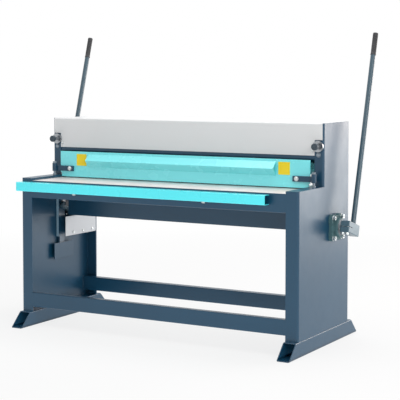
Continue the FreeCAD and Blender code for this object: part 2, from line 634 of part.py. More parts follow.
def guard(side, sign):
    """The sheet that closes the inner side of the bay round the crank, screwed to three posts."""
    sheet_metal = box("guard_sheet_" + side, beside(sign, "bay_inner", "guard_outer"),
                      ("upright_front + guard_setback", "post_rear - frame_plate"),
                      ("guard_bottom", "guard_top"))
    holes = [rod("guard_hole_%s%d" % (side, n), "x", "small_bolt_diameter",
                 beside(sign, "bay_inner", "guard_outer"), (place, "guard_post_height"))
             for n, place in enumerate(GUARD_POSTS)]
    return piece(side + "_guard", cut("guard_drilled_" + side, sheet_metal, holes))


def covers():
    for side, sign in SIDES:
        guard(side, sign)
    screws = []
    for side, sign in SIDES:
        for n, place in enumerate(GUARD_POSTS):
            screws.append(hex_bolt("guard_screw_%s%d" % (side, n), "x", -sign, at(sign, "bay_inner"),
                                   "guard_sheet + 1.5 * small_bolt_diameter", "small_bolt_diameter",
                                   (place, "guard_post_height")))
    piece("guard_screws", group("guard_screw_group", screws))

    hood = body("hood_body")
    body_box(hood, "Additive", "hood_block", ("-inner_face", "inner_face"), ("upright_front", "post_rear"),
             ("hood_base", "hood_top"))
    soften(hood, "hood_outer_bends", "Fillet", "hood_bend",
           lambda edge, middle: near(middle.z, "hood_top") and edge.BoundBox.XLength > edge.BoundBox.YLength)
    body_box(hood, "Subtractive", "hood_inside", ("-inner_face", "inner_face"),
             ("hood_front_back", "post_rear - hood_sheet"), ("hood_base", "hood_top - hood_sheet"))
    body_box(hood, "Subtractive", "hood_front_opening", ("-inner_face", "inner_face"),
             ("upright_front", "hood_front_back"), ("hood_base", "hood_front_bottom"))
    for side, sign in SIDES:
        body_box(hood, "Subtractive", "hood_notch_" + side, beside(sign, "upright_inner", "inner_face"),
                 ("upright_front", "hood_front_back"), ("hood_base", "upright_top + hood_side_gap"))
        body_rod(hood, "Subtractive", "hood_hole_" + side, "y", "small_bolt_diameter",
                 ("upright_front", "hood_front_back"), HOOD_SCREW[side])
    piece("hood", hood)
    piece("hood_screws", group("hood_screw_group", [
        hex_bolt("hood_screw_" + side, "y", -1, "upright_front", "hood_sheet + cross_beam_wall",
                 "small_bolt_diameter", HOOD_SCREW[side]) for side, sign in SIDES]))


def bearing(side, sign):
    """A cast four-bolt flange unit with a round boss and waisted sides."""
    owner = body(side + "_bearing_body")
    name = side + "_bearing_"
    square_y = ("shaft_y - bearing_flange / 2", "shaft_y + bearing_flange / 2")
    square_z = ("shaft_height - bearing_flange / 2", "shaft_height + bearing_flange / 2")
    plate_x = beside(sign, "outer_face", "bearing_face")
    body_box(owner, "Additive", name + "flange", plate_x, square_y, square_z)
    soften(owner, name + "corners", "Fillet", "bearing_corner_radius",
           lambda edge, middle: edge.BoundBox.XLength > number("bearing_flange_thickness") / 2)
    reach = "(bearing_flange / 2 + bearing_waist_radius - bearing_waist_depth)"
    for index, (y_sign, z_sign) in enumerate(((1, 0), (-1, 0), (0, 1), (0, -1))):
        body_rod(owner, "Subtractive", name + "waist%d" % index, "x", "2 * bearing_waist_radius", plate_x,
                 ("shaft_y + %d * %s" % (y_sign, reach), "shaft_height + %d * %s" % (z_sign, reach)))
    body_rod(owner, "Additive", name + "boss", "x", "bearing_boss_diameter",
             beside(sign, "outer_face", "bearing_end"), ("shaft_y", "shaft_height"))
    soften(owner, name + "boss_round", "Fillet", "bearing_corner_radius / 4",
           lambda edge, middle: near(middle.x, at(sign, "bearing_end")))
    body_rod(owner, "Subtractive", name + "seat", "x", "insert_diameter",
             beside(sign, "outer_face", "bearing_end"), ("shaft_y", "shaft_height"))
    for index, place in enumerate(BEARING_BOLTS):
        body_rod(owner, "Subtractive", name + "hole%d" % index, "x", "large_bolt_diameter", plate_x, place)
    return piece(side + "_bearing_housing", owner)


def shaft_line():
    """The torsion shaft and what carries it, with the cranks inside the frame and the hubs outside."""
    for side, sign in SIDES:
        bearing(side, sign)
    inserts = []
    centre = ("shaft_y", "shaft_height")
    for side, sign in SIDES:
        ring = fuse("insert_ring_" + side, [
            rod("insert_outer_" + side, "x", "insert_diameter",
                beside(sign, "bearing_end - insert_width", "bearing_end"), centre),
            rod("insert_collar_" + side, "x", "insert_collar_diameter",
                beside(sign, "bearing_end", "insert_end"), centre)])
        bore = rod("insert_bore_" + side, "x", "shaft_diameter + 2 * running_clearance",
                   beside(sign, "bearing_end - insert_width", "insert_end"), centre)
        inserts.append(cut("insert_" + side, ring, [bore]))
    piece("bearing_inserts", group("insert_group", inserts))
    piece("bearing_bolts", group("bearing_bolt_group", [
        cap_screw("bearing_bolt_%s%d" % (side, n), "x", sign, at(sign, "bearing_face"),
                  "bearing_flange_thickness + frame_plate", "large_bolt_diameter", place)
        for side, sign in SIDES for n, place in enumerate(BEARING_BOLTS)]))
    piece("torsion_shaft", rod("shaft_bar", "x", "shaft_diameter", ("-shaft_end", "shaft_end"), centre))
    rollers = []
    for side, sign in SIDES:
        crank(side, sign)
        rollers.append(roller(side, sign))
    piece("crank_rollers", turn_about_shaft(group("roller_group", rollers), "-half_swing"))


def crank(side, sign):
    """A crank arm welded to the shaft, reaching forward, with the pin that carries its roller."""
    owner = body(side + "_crank_body")
    x = beside(sign, "crank_inner", "crank_outer")
    arm_half = "crank_eye_diameter / 2"
    body_rod(owner, "Additive", side + "_crank_boss", "x", "crank_boss_diameter", x, ("0", "0"))
    body_box(owner, "Additive", side + "_crank_arm", x, ("-crank_radius", "0"), ("-" + arm_half, arm_half))
    body_rod(owner, "Additive", side + "_crank_eye", "x", "crank_eye_diameter", x, ("-crank_radius", "0"))
    body_rod(owner, "Additive", side + "_crank_pin", "x", "crank_pin_diameter",
             beside(sign, "crank_outer", "pull_outer"), ("-crank_radius", "0"))
    body_rod(owner, "Subtractive", side + "_crank_bore", "x", "shaft_diameter", x, ("0", "0"))
    return piece(side + "_crank", turn_about_shaft(owner, "-half_swing"))


def roller(side, sign):
    x = beside(sign, "pull_inner + roller_side_gap", "pull_outer - roller_side_gap")
    pin = ("-crank_radius", "0")
    solid = rod("roller_body_" + side, "x", "roller_diameter", x, pin)
    bore = rod("roller_bore_" + side, "x", "crank_pin_diameter + 2 * running_clearance", x, pin)
    return cut("roller_" + side, solid, [bore])


def hub(side, sign):
    """The split block that grips the shaft's end and holds the foot of a lever."""
    owner = body(side + "_hub_body")
    name = side + "_hub_"
    x = beside(sign, "hub_inner", "hub_outer")
    half = "hub_height / 2"
    body_box(owner, "Additive", name + "block", x, ("-hub_front", "hub_rear"), ("-" + half, half))
    soften(owner, name + "edges", "Chamfer", "hub_chamfer", lambda edge, middle: True)
    body_rod(owner, "Subtractive", name + "bore", "x", "shaft_diameter",
             beside(sign, "hub_inner", "shaft_end"), ("0", "0"))
    body_box(owner, "Subtractive", name + "slit", x, ("-hub_front", "0"), ("-hub_slit / 2", "hub_slit / 2"))
    body_rod(owner, "Subtractive", name + "lever_hole", "z", "lever_diameter", ("-lever_foot", half),
             (at(sign, "lever_x"), "lever_offset"))
    for index, place in enumerate(HUB_SCREWS):
        body_rod(owner, "Subtractive", name + "screw_hole%d" % index, "z", "bolt_diameter",
                 ("-" + half, "hub_height / 2 - hub_chamfer"), (at(sign, place), "-hub_screw_reach"))
    return piece(side + "_hub", turn_about_shaft(owner, "-lever_tilt"))


HUB_SCREWS = ["lever_x - hub_screw_spacing / 2", "lever_x + hub_screw_spacing / 2"]


def grip(side, sign):
    owner = body(side + "_grip_body")
    foot_z = "lever_reach + grip_cap - grip_length"
    centre = (at(sign, "lever_x"), "lever_offset")
    body_rod(owner, "Additive", side + "_grip_sleeve", "z", "grip_diameter",
             (foot_z, "lever_reach + grip_cap"), centre)
    soften(owner, side + "_grip_ends", "Fillet", "grip_round",
           lambda edge, middle: near(middle.z, "lever_reach + grip_cap") and edge.Length > 1)
    body_rod(owner, "Subtractive", side + "_grip_bore", "z", "lever_diameter",
             (foot_z, "lever_reach"), centre)
    return piece(side + "_grip", turn_about_shaft(owner, "-lever_tilt"))


def levers():
    screws = []
    for side, sign in SIDES:
        hub(side, sign)
        lever = rod("lever_bar_" + side, "z", "lever_diameter", ("-lever_foot", "lever_reach"),
                    (at(sign, "lever_x"), "lever_offset"))
        turned = group("lever_" + side, [lever])
        piece(side + "_lever", turn_about_shaft(turned, "-lever_tilt"))
        grip(side, sign)
        for index, place in enumerate(HUB_SCREWS):
            screws.append(cap_screw("hub_screw_%s%d" % (side, index), "z", -1, "-hub_height / 2",
                                    "hub_height - hub_chamfer", "bolt_diameter",
                                    (at(sign, place), "-hub_screw_reach")))
    piece("hub_screws", turn_about_shaft(group("hub_screw_group", screws), "-lever_tilt"))


def knife_beam():
    """The moving beam: a plate with ears over the side frames, a box behind it and two strut lugs."""
    owner = body("knife_beam_body")
    lift = "knife_edge_setback"
    outline = outline_sketch(owner, "knife_beam_outline", "XZ_Plane", [
        ("-knife_half", "edge_low + " + lift), ("knife_half", "edge_high + " + lift),
        ("knife_half", "ear_bottom"), ("ear_half", "ear_bottom"),
        ("ear_half", "knife_top"), ("-ear_half", "knife_top"),
        ("-ear_half", "ear_bottom"), ("-knife_half", "ear_bottom")])
    pad(owner, "knife_beam_plate", outline, "knife_plate", backwards=True)
    back = "knife_plate"
    box_x = ("-knife_box_half", "knife_box_half")
    box_z = ("knife_box_base", "knife_box_base + knife_box_height")
    body_box(owner, "Additive", "knife_box", box_x, (back, back + " + knife_box_depth"), box_z)
    body_box(owner, "Subtractive", "knife_box_bore", box_x,
             (back, back + " + knife_box_depth - knife_box_wall"),
             (box_z[0] + " + knife_box_wall", box_z[1] + " - knife_box_wall"))
    for side, sign in SIDES:
        lug_x = beside(sign, "strut_lug_inner", "strut_lug_outer")
        body_box(owner, "Additive", "strut_lug_" + side, lug_x,
                 (back, "strut_y - knife_front + strut_eye_diameter / 2"),
                 ("strut_head - strut_lug_height / 2", "strut_head + strut_lug_height / 2"))
        body_rod(owner, "Subtractive", "strut_lug_hole_" + side, "x", "strut_rod_diameter", lug_x,
                 ("strut_y - knife_front", "strut_head"))
        for n, place in enumerate(BEAM_BOLTS):
            body_rod(owner, "Subtractive", "ear_hole_%s%d" % (side, n), "y", "small_bolt_diameter",
                     ("0", "knife_plate"), (at(sign, "pull_inner + pull_plate / 2"), place))
    for n, x in enumerate(BLADE_SCREWS):
        body_rod(owner, "Subtractive", "knife_hole%d" % n, "y", "small_bolt_diameter",
                 ("0", "knife_plate"), (x, upper_screw_z(x)))
    owner.setExpression("Placement.Base.y", sized("knife_front"))
    return piece("knife_beam", owner)


def upper_screw_z(x):
    """The height of a blade screw, which follows the rake of the edge."""
    return "edge_low + upper_blade_height / 2 + (blade_half + %s) * tan(blade_rake * 1 deg)" % x


def upper_blade():
    owner = body("upper_blade_body")
    outline = outline_sketch(owner, "upper_blade_outline", "XZ_Plane", [
        ("-blade_half", "edge_low"), ("blade_half", "edge_high"),
        ("blade_half", "edge_high + upper_blade_height"), ("-blade_half", "edge_low + upper_blade_height")])
    pad(owner, "upper_blade_bar", outline, "blade_thickness", backwards=True)
    for n, x in enumerate(BLADE_SCREWS):
        body_rod(owner, "Subtractive", "upper_blade_hole%d" % n, "y", "small_bolt_diameter",
                 ("blade_thickness - blade_screw_grip", "blade_thickness"), (x, upper_screw_z(x)))
    owner.setExpression("Placement.Base.y", sized("knife_blade_front"))
    return piece("upper_blade", owner)


def pull_plate(side, sign):
    """The plate that hangs from an ear of the knife beam and is pulled down by a crank roller."""
    owner = body(side + "_pull_body")
    name = side + "_pull_"
    outline = outline_sketch(owner, name + "outline", "YZ_Plane", [
        ("pull_front", "pull_bottom"), ("tongue_front", "pull_bottom"),
        ("tongue_front", "tongue_bottom"), ("tongue_back", "tongue_bottom"),
        ("tongue_back", "pull_bottom"), ("pull_back", "pull_bottom"),
        ("pull_back", "pull_head_bottom"), ("knife_front", "pull_head_bottom"),
        ("knife_front", "pull_top"), ("pull_front", "pull_top")])
    pad(owner, name + "strip", outline, "pull_plate")
    soften(owner, name + "tongue_end", "Fillet", "tongue_corner",
           lambda edge, middle: near(middle.z, "tongue_bottom") and edge.BoundBox.XLength > 1)
    x = ("0", "pull_plate")
    slot_z = ("pin_rest_z - slot_radius", "pin_rest_z + slot_radius")
    body_box(owner, "Subtractive", name + "slot", x, ("pin_middle_y", "pin_rest_y"), slot_z)
    for end in ("middle", "rest"):
        body_rod(owner, "Subtractive", name + "slot_" + end, "x", "2 * slot_radius", x,
                 ("pin_%s_y" % end, "pin_rest_z"))
    for n, place in enumerate(BEAM_BOLTS):
        body_rod(owner, "Subtractive", name + "bolt_hole%d" % n, "y", "small_bolt_diameter",
                 ("knife_front - 2 * small_bolt_diameter", "knife_front"), ("pull_plate / 2", place))
    owner.setExpression("Placement.Base.x", sized(beside(sign, "pull_inner", "pull_outer")[0]))
    return piece(side + "_pull_plate", owner)


def knife():
    knife_beam()
    upper_blade()
    piece("upper_blade_screws", group("upper_blade_screw_group", [
        hex_bolt("upper_blade_screw%d" % n, "y", 1, "knife_back", "knife_plate + blade_screw_grip",
                 "small_bolt_diameter", (x, upper_screw_z(x))) for n, x in enumerate(BLADE_SCREWS)]))
    for side, sign in SIDES:
        pull_plate(side, sign)
    piece("pull_plate_bolts", group("pull_bolt_group", [
        hex_bolt("pull_bolt_%s%d" % (side, n), "y", 1, "knife_back",
                 "knife_plate + 2 * small_bolt_diameter", "small_bolt_diameter",
                 (at(sign, "pull_inner + pull_plate / 2"), place))
        for side, sign in SIDES for n, place in enumerate(BEAM_BOLTS)]))
    housings = []
    for side, sign in SIDES:
        x = at(sign, "plunger_half_spacing")
        span = ("plunger_base", "plunger_top")
        lug_x = ["%s %s plunger_housing_diameter / 4" % (x, edge) for edge in "-+"]
        outer = fuse("plunger_solid_" + side, [
            rod("plunger_tube_" + side, "z", "plunger_housing_diameter", span, (x, "plunger_y")),
            box("plunger_lug_" + side, lug_x, ("plunger_y", "knife_front"),
                ("plunger_top - plunger_lug_height", "plunger_top"))])
        housings.append(cut("plunger_housing_" + side, outer, [
            rod("plunger_bore_" + side, "z", "plunger_rod_diameter + 2 * running_clearance", span,
                (x, "plunger_y"))]))
    piece("plunger_housings", group("plunger_housing_group", housings))
    struts()


def struts():
    """The two gas struts that carry the knife's weight: a tube on each frame and a rod on each lug."""
    tubes, rods = [], []
    for side, sign in SIDES:
        centre = (at(sign, "strut_x"), "strut_y")
        eye_x = beside(sign, "strut_eye_inner", "strut_eye_outer")
        pin_out = beside(sign, "strut_eye_outer", "inner_face")
        tube_solid = fuse("strut_tube_solid_" + side, [
            rod("strut_tube_" + side, "z", "strut_diameter", ("strut_foot", "strut_tube_top"), centre),
            rod("strut_foot_eye_" + side, "x", "strut_eye_diameter", eye_x, ("strut_y", "strut_foot")),
            rod("strut_foot_pin_" + side, "x", "strut_rod_diameter", pin_out, ("strut_y", "strut_foot"))])
        rod_low = "strut_tube_top - strut_rod_engagement"
        tubes.append(cut("strut_cylinder_" + side, tube_solid, [
            rod("strut_bore_" + side, "z", "strut_rod_diameter + 2 * running_clearance",
                (rod_low + " - knife_stroke - slide_gap", "strut_tube_top"), centre)]))
        rods.append(fuse("strut_rod_" + side, [
            rod("strut_rod_bar_" + side, "z", "strut_rod_diameter", (rod_low, "strut_head"), centre),
            rod("strut_head_eye_" + side, "x", "strut_eye_diameter", eye_x, ("strut_y", "strut_head")),
            rod("strut_head_pin_" + side, "x", "strut_rod_diameter",
                beside(sign, "strut_lug_inner", "strut_eye_outer"),
                ("strut_y", "strut_head"))]))
    piece("strut_cylinders", group("strut_cylinder_group", tubes))
    piece("strut_rods", group("strut_rod_group", rods))


def clamp_beam():
    owner = body("clamp_beam_body")
    body_box(owner, "Additive", "clamp_face", ("-clamp_half", "clamp_half"),
             ("clamp_front", "clamp_back"), ("clamp_bottom", "clamp_bottom + clamp_height"))
    body_box(owner, "Additive", "clamp_foot", ("-clamp_foot_half", "clamp_foot_half"),
             ("clamp_back", "clamp_foot_back"), ("clamp_bottom", "clamp_foot_top"))
    for side, sign in SIDES:
        body_box(owner, "Subtractive", "clamp_notch_" + side, beside(sign, "clamp_foot_half", "clamp_half"),
                 ("clamp_front", "clamp_back"), ("clamp_bottom", "clamp_bottom + clamp_corner_notch"))
        body_rod(owner, "Subtractive", "clamp_arm_hole_" + side, "y", "bolt_diameter",
                 ("clamp_front", "clamp_back"), (at(sign, "arm_bolt_x"), "arm_bolt_z"))
        body_rod(owner, "Subtractive", "clamp_plunger_hole_" + side, "z", "plunger_rod_diameter",
                 ("clamp_bottom", "clamp_foot_top"), (at(sign, "plunger_half_spacing"), "plunger_y"))
    return piece("clamp_beam", owner)


def stiffener():
    """A length of angle set corner outwards along the clamp's face."""
    owner = body("stiffener_body")
    half = "stiffener_leg / sqrt(2)"
    skin = "stiffener_thickness * sqrt(2)"
    outline = outline_sketch(owner, "stiffener_outline", "YZ_Plane", [
        ("clamp_front", "stiffener_height + " + half), ("clamp_front - " + half, "stiffener_height"),
        ("clamp_front", "stiffener_height - " + half),
        ("clamp_front", "stiffener_height - (%s - %s)" % (half, skin)),
        ("clamp_front - (%s - %s)" % (half, skin), "stiffener_height"),
        ("clamp_front", "stiffener_height + (%s - %s)" % (half, skin))])
    pad(owner, "stiffener_angle", outline, "2 * stiffener_half")
    owner.setExpression("Placement.Base.x", sized("-stiffener_half"))
    return piece("clamp_stiffener", owner)


def clamp_arm(side, sign):
    """The flat arm on the clamp's face whose boss slides on a stud."""
    owner = body(side + "_arm_body")
    centre = (at(sign, "stud_x"), "stud_y")
    span = ("arm_boss_base", "arm_boss_top")
    body_box(owner, "Additive", side + "_arm_bar", beside(sign, "clamp_arm_inner", "stud_x"),
             ("arm_front", "clamp_front"), ("clamp_arm_base", "clamp_arm_base + clamp_arm_height"))
    body_rod(owner, "Additive", side + "_arm_boss", "z", "arm_boss_diameter", span, centre)
    body_rod(owner, "Subtractive", side + "_arm_bore", "z", "stud_diameter + 2 * running_clearance",
             span, centre)
    body_rod(owner, "Subtractive", side + "_arm_bolt_hole", "y", "bolt_diameter",
             ("arm_front", "clamp_front"), (at(sign, "arm_bolt_x"), "arm_bolt_z"))
    return piece(side + "_clamp_arm", owner)


def clamp():
    clamp_beam()
    stiffener()
    for side, sign in SIDES:
        clamp_arm(side, sign)
    piece("clamp_arm_bolts", group("arm_bolt_group", [
        hex_bolt("arm_bolt_" + side, "y", -1, "arm_front", "clamp_arm_plate + clamp_plate", "bolt_diameter",
                 (at(sign, "arm_bolt_x"), "arm_bolt_z")) for side, sign in SIDES]))
    piece("yellow_plates", group("yellow_plate_group", [
        box("yellow_plate_" + side, beside(sign, "yellow_plate_inner", "yellow_plate_outer"),
            ("clamp_front - yellow_plate_thickness", "clamp_front"),
            ("yellow_plate_base", "yellow_plate_base + yellow_plate_size")) for side, sign in SIDES]))
    nut_z = ("plunger_top + slide_gap", "plunger_top + slide_gap + plunger_nut_height")
    rods = []
    for side, sign in SIDES:
        centre = (at(sign, "plunger_half_spacing"), "plunger_y")
        rods.append(fuse("plunger_rod_" + side, [
            rod("plunger_bar_" + side, "z", "plunger_rod_diameter",
                ("clamp_bottom", nut_z[1] + " + plunger_rod_end"), centre),
            hexagon("plunger_nut_" + side, "z", "plunger_nut_corners * plunger_rod_diameter", nut_z,
                    centre)]))
    piece("plunger_rods", group("plunger_rod_group", rods))
    studs = []
    head_z = ("arm_boss_top + slide_gap", "arm_boss_top + slide_gap + stud_head_height")
    for side, sign in SIDES:
        centre = (at(sign, "stud_x"), "stud_y")
        studs.append(fuse("stud_" + side, [
            rod("stud_bar_" + side, "z", "stud_diameter", ("rim_underside", head_z[1]), centre),
            rod("stud_collar_" + side, "z", "stud_collar_diameter",
                ("rim_height", "rim_height + stud_collar_height"), centre),
            hexagon("stud_head_" + side, "z", "stud_head_corners * stud_diameter", head_z, centre)]))
    piece("hold_down_studs", group("stud_group", studs))


def adjusters():
    """The knobs that set the pull plates' guide clearance, each in a plate on the upright."""
    plates, locks = [], []
    for side, sign in SIDES:
        centre = (at(sign, "adjuster_x"), "adjuster_height")
        span = ("adjuster_plate_front", "upright_front")
        disc = rod("adjuster_disc_" + side, "y", "adjuster_plate_diameter", span, centre)
        bore = rod("adjuster_bore_" + side, "y", "adjuster_stem_diameter + 2 * running_clearance", span,
                   centre)
        plates.append(cut("adjuster_plate_" + side, disc, [bore]))
        locks.append(hex_bolt("lock_screw_" + side, "y", -1, "upright_front", "frame_plate", "bolt_diameter",
                              (at(sign, "adjuster_x"), "adjuster_height - lock_screw_drop")))
        owner = body(side + "_knob_body")
        body_rod(owner, "Additive", side + "_knob_head", "y", "knob_diameter", ("knob_face", "knob_back"),
                 centre)
        soften(owner, side + "_knob_rounds", "Fillet", "knob_round",
               lambda edge, middle: edge.Length > number("2 * knob_diameter"))
        body_rod(owner, "Additive", side + "_knob_stem", "y", "adjuster_stem_diameter",
                 ("knob_back", "pull_front - slide_gap"), centre)
        piece(side + "_knob", owner)
    piece("adjuster_plates", group("adjuster_plate_group", plates))
    piece("adjuster_lock_screws", group("lock_screw_group", locks))


stand()
table()
guides()
covers()
shaft_line()
levers()
knife()
clamp()
adjusters()
doc.recompute()

faults = [thing.Name for thing in doc.Objects if "Invalid" in thing.State or "Error" in thing.State]
for sub_part in pieces:
    if sub_part.Shape.isNull() or not sub_part.Shape.isValid() or not sub_part.Shape.Solids:
        faults.append(sub_part.Label)
if faults:
    raise RuntimeError("objects that did not build: " + ", ".join(faults))

os.makedirs("parts", exist_ok=True)
for sub_part in pieces:
    sub_part.Shape.exportStep(os.path.join("parts", sub_part.Label + ".step"))
print(len(pieces), "sub-parts written, knife stroke %.2f mm" % number("knife_stroke"))
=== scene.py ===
import json
import math

import bmesh
import bpy
from mathutils import Matrix, Vector


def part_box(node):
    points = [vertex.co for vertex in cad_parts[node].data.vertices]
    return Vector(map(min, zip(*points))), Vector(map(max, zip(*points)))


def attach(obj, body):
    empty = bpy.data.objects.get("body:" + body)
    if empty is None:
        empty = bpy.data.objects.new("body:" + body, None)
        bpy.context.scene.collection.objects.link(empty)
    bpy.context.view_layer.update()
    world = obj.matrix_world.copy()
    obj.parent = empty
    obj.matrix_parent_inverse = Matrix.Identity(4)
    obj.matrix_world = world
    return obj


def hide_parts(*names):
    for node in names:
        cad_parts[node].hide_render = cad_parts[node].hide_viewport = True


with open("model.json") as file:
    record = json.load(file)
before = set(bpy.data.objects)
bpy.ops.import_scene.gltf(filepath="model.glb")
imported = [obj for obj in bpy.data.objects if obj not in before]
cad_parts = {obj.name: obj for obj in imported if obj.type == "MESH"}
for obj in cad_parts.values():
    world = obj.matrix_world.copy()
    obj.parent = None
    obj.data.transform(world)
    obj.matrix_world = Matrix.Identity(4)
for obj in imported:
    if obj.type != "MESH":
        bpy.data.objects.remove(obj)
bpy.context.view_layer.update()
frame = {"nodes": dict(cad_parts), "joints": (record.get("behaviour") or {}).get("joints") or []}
nodes = frame["nodes"]
joints = {joint["name"]: joint for joint in frame["joints"]}

SIDES = (("left", -1), ("right", 1))
MM = 0.001

# The photograph is 400 by 400.  These come from fitting a camera to the machine's corners in it.
PHOTO_WIDTH_PX = 400
CAMERA_PLACE = Vector((3.394, -5.755, 1.395))
CAMERA_YAW_DEG = 29.715
CAMERA_PITCH_DEG = 3.01
FOCAL_LENGTH_PX = 1227.4
HORIZON_OFFSET_PX = -60.2
SENSOR_WIDTH_MM = 36

# The levers lean back at rest and stand clear of the shaft's axis.
LEVER_TILT_DEG = 16.5
LEVER_OFFSET = 58 * MM
LEVER_TOP = 1076 * MM
GRIP_LENGTH = 124 * MM
GRIP_RADIUS = 14.5 * MM

# Adjuster knobs.
KNOB_LENGTH = 20 * MM
KNOB_FLUTES = 12
FLUTE_DEPTH = 1.1 * MM
STEM_RADIUS = 8 * MM

# Hexagon heads and washers, as multiples of the thread's diameter.
HEAD_CORNERS = 1.8
HEAD_HEIGHT = 0.65
WASHER_BORE_RADIUS = 0.53
WASHER_RADIUS = 1.05
WASHER_THICKNESS = 0.17
SHANK_END_CHAMFER = 0.8 * MM

# Flange bearings of the shaft.
FLANGE_THICKNESS = 20 * MM
FLANGE_WASHER = (7.4 * MM, 13.5 * MM, 2 * MM)
COLLAR_LENGTH = 10 * MM
COLLAR_RADIUS = 34 * MM
SET_SCREW_ANGLES_DEG = (35, 95)
BOSS_RADIUS = 50 * MM
NIPPLE_PLACE = 11 * MM

# Stand and its weld beads.
PLATE = 8 * MM
SEAM_RADIUS = 3.2 * MM
RIPPLE = 3 * MM
FRONT_SEAM_MARGIN = 12 * MM
FRONT_SEAM_RADIUS = 2.2 * MM
STRAP_SEAM_Y = (43.4 * MM, 118.3 * MM)
STRAP_SEAM_LENGTH = 40 * MM
STRAP_SEAM_RADIUS = 2.4 * MM

# Pull plates carry a painted highlight along their edges above this height.
PULL_PLATE_FOOT = 462 * MM
NAVY_HEX = "#11405a"
PAINT_IOR = 1.5
PAINT_COAT_ROUGHNESS = 0.22

# Lamps: place, target, width and height in metres, brightness of the face, and colour.
LAMPS = {
    "overhead_lamp": ((0.4, -0.6, 4.6), (0, 0, 0.6), (3.6, 3.6), 1.65, "#ffffff"),
    "rear_lamp": ((-0.2, 1.2, 4.6), (0, 0, 0.6), (3.0, 2.0), 3.2, "#ffffff"),
    "key_lamp": ((4.6, -2.6, 2.6), (0.3, 0, 0.7), (2.5, 2.5), 3.45, "#ffffff"),
    "side_panel_top": ((2.9, 3.7, 1.75), (0.85, 0, 1.0), (2.8, 0.7), 8.0, "#ffeee4"),
    "side_panel_middle": ((2.9, 3.7, 1.15), (0.85, 0, 0.9), (2.8, 0.5), 5.4, "#fff6f2"),
    "side_panel_low": ((2.9, 3.7, 0.5), (0.85, 0, 0.6), (2.8, 0.8), 3.2, "#ffffff"),
    "floor_panel": ((0, -0.5, 0.01), (0, -0.5, 1.0), (4.2, 3.4), 0.75, "#ffffff"),
}
UNMIRRORED_LAMPS = ("floor_panel",)
SKY_STRENGTH = 0.5

# The floor is 30 m to each side; its shadow fades out between two distances from the middle.
FLOOR_HALF_WIDTH = 30
FLOOR_HEX = "#e7e7e7"
SHADOW_FADE_START = 1.5
SHADOW_FADE_END = 4.5
WHITE_SHARE_NEAR = 0.8


def linear(hex_code):
    """An sRGB colour such as #46606f as linear light, with alpha."""
    channels = [int(hex_code[start:start + 2], 16) / 255 for start in (1, 3, 5)]
    light = [c / 12.92 if c <= 0.04045 else ((c + 0.055) / 1.055) ** 2.4 for c in channels]
    return (*light, 1.0)


def add(tree, kind, settings=None, links=None):
    """Adds a node, sets its inputs or properties by name or place, and links sockets into it."""
    node = tree.nodes.new(kind)
    for name, value in (settings or {}).items():
        if isinstance(name, int) or name in node.inputs:
            node.inputs[name].default_value = value
        else:
            setattr(node, name, value)
    for name, socket in (links or {}).items():
        tree.links.new(socket, node.inputs[name])
    return node


def new_material(name):
    """An empty material with its shader, output and object coordinates ready."""
    material = bpy.data.materials.new(name)
    material.use_nodes = True
    tree = material.node_tree
    tree.nodes.clear()
    shader = add(tree, "ShaderNodeBsdfPrincipled")
    add(tree, "ShaderNodeOutputMaterial", links={"Surface": shader.outputs[0]})
    place = add(tree, "ShaderNodeTexCoord").outputs["Object"]
    return material, tree, shader, place


def noise(tree, place, size_mm, detail=2.0, stretch=(1, 1, 1)):
    """Noise whose features are about size_mm across, drawn out along an axis by a stretch above 1."""
    scale = [1 / (size_mm * MM) / s for s in stretch]
    mapped = add(tree, "ShaderNodeMapping", {"Scale": scale}, {"Vector": place})
    return add(tree, "ShaderNodeTexNoise", {"Scale": 1.0, "Detail": detail},
               {"Vector": mapped.outputs[0]}).outputs["Fac"]


def spread(tree, value, low, high, source=(0.3, 0.7)):
    """Stretches the middle of a noise value over a chosen range."""
    return add(tree, "ShaderNodeMapRange",
               {"From Min": source[0], "From Max": source[1], "To Min": low, "To Max": high},
               {"Value": value}).outputs[0]


def tint(tree, factor, first, second):
    """A colour that runs from first to second; each is a colour or a socket."""
    mix = add(tree, "ShaderNodeMix", {"data_type": "RGBA"}, {0: factor})
    for place, colour in ((6, first), (7, second)):
        if isinstance(colour, bpy.types.NodeSocket):
            tree.links.new(colour, mix.inputs[place])
        else:
            mix.inputs[place].default_value = colour
    return mix.outputs[2]


def shaded(colour, share):
    """A colour made darker (below 1) or lighter (above 1)."""
    return (*(min(1.0, channel * share) for channel in colour[:3]), 1.0)


def soft_edges(tree, radius_mm):
    """The surface direction with its corners rounded, as folded sheet and ground edges are."""
    return add(tree, "ShaderNodeBevel", {"samples": 6, "Radius": radius_mm * MM}).outputs[0]


def edge_mask(tree, rounded, noise_value):
    """Where the rounded direction leaves the true one: a thin, broken line along the edges."""
    true_normal = add(tree, "ShaderNodeNewGeometry").outputs["Normal"]
    match = add(tree, "ShaderNodeVectorMath", {"operation": "DOT_PRODUCT"}, {0: rounded, 1: true_normal})
    line = add(tree, "ShaderNodeMapRange", {"From Min": 0.98, "From Max": 0.80, "To Min": 0.0, "To Max": 1.0},
               {"Value": match.outputs["Value"]}).outputs[0]
    return add(tree, "ShaderNodeMath", {"operation": "MULTIPLY"}, {0: line, 1: noise_value}).outputs[0]


def bump(tree, height, depth_mm, strength, normal=None):
    """The surface direction of a fine relief, laid over another direction where one is given."""
    links = {"Height": height}
    if normal is not None:
        links["Normal"] = normal
    return add(tree, "ShaderNodeBump", {"Strength": strength, "Distance": depth_mm * MM}, links).outputs[0]


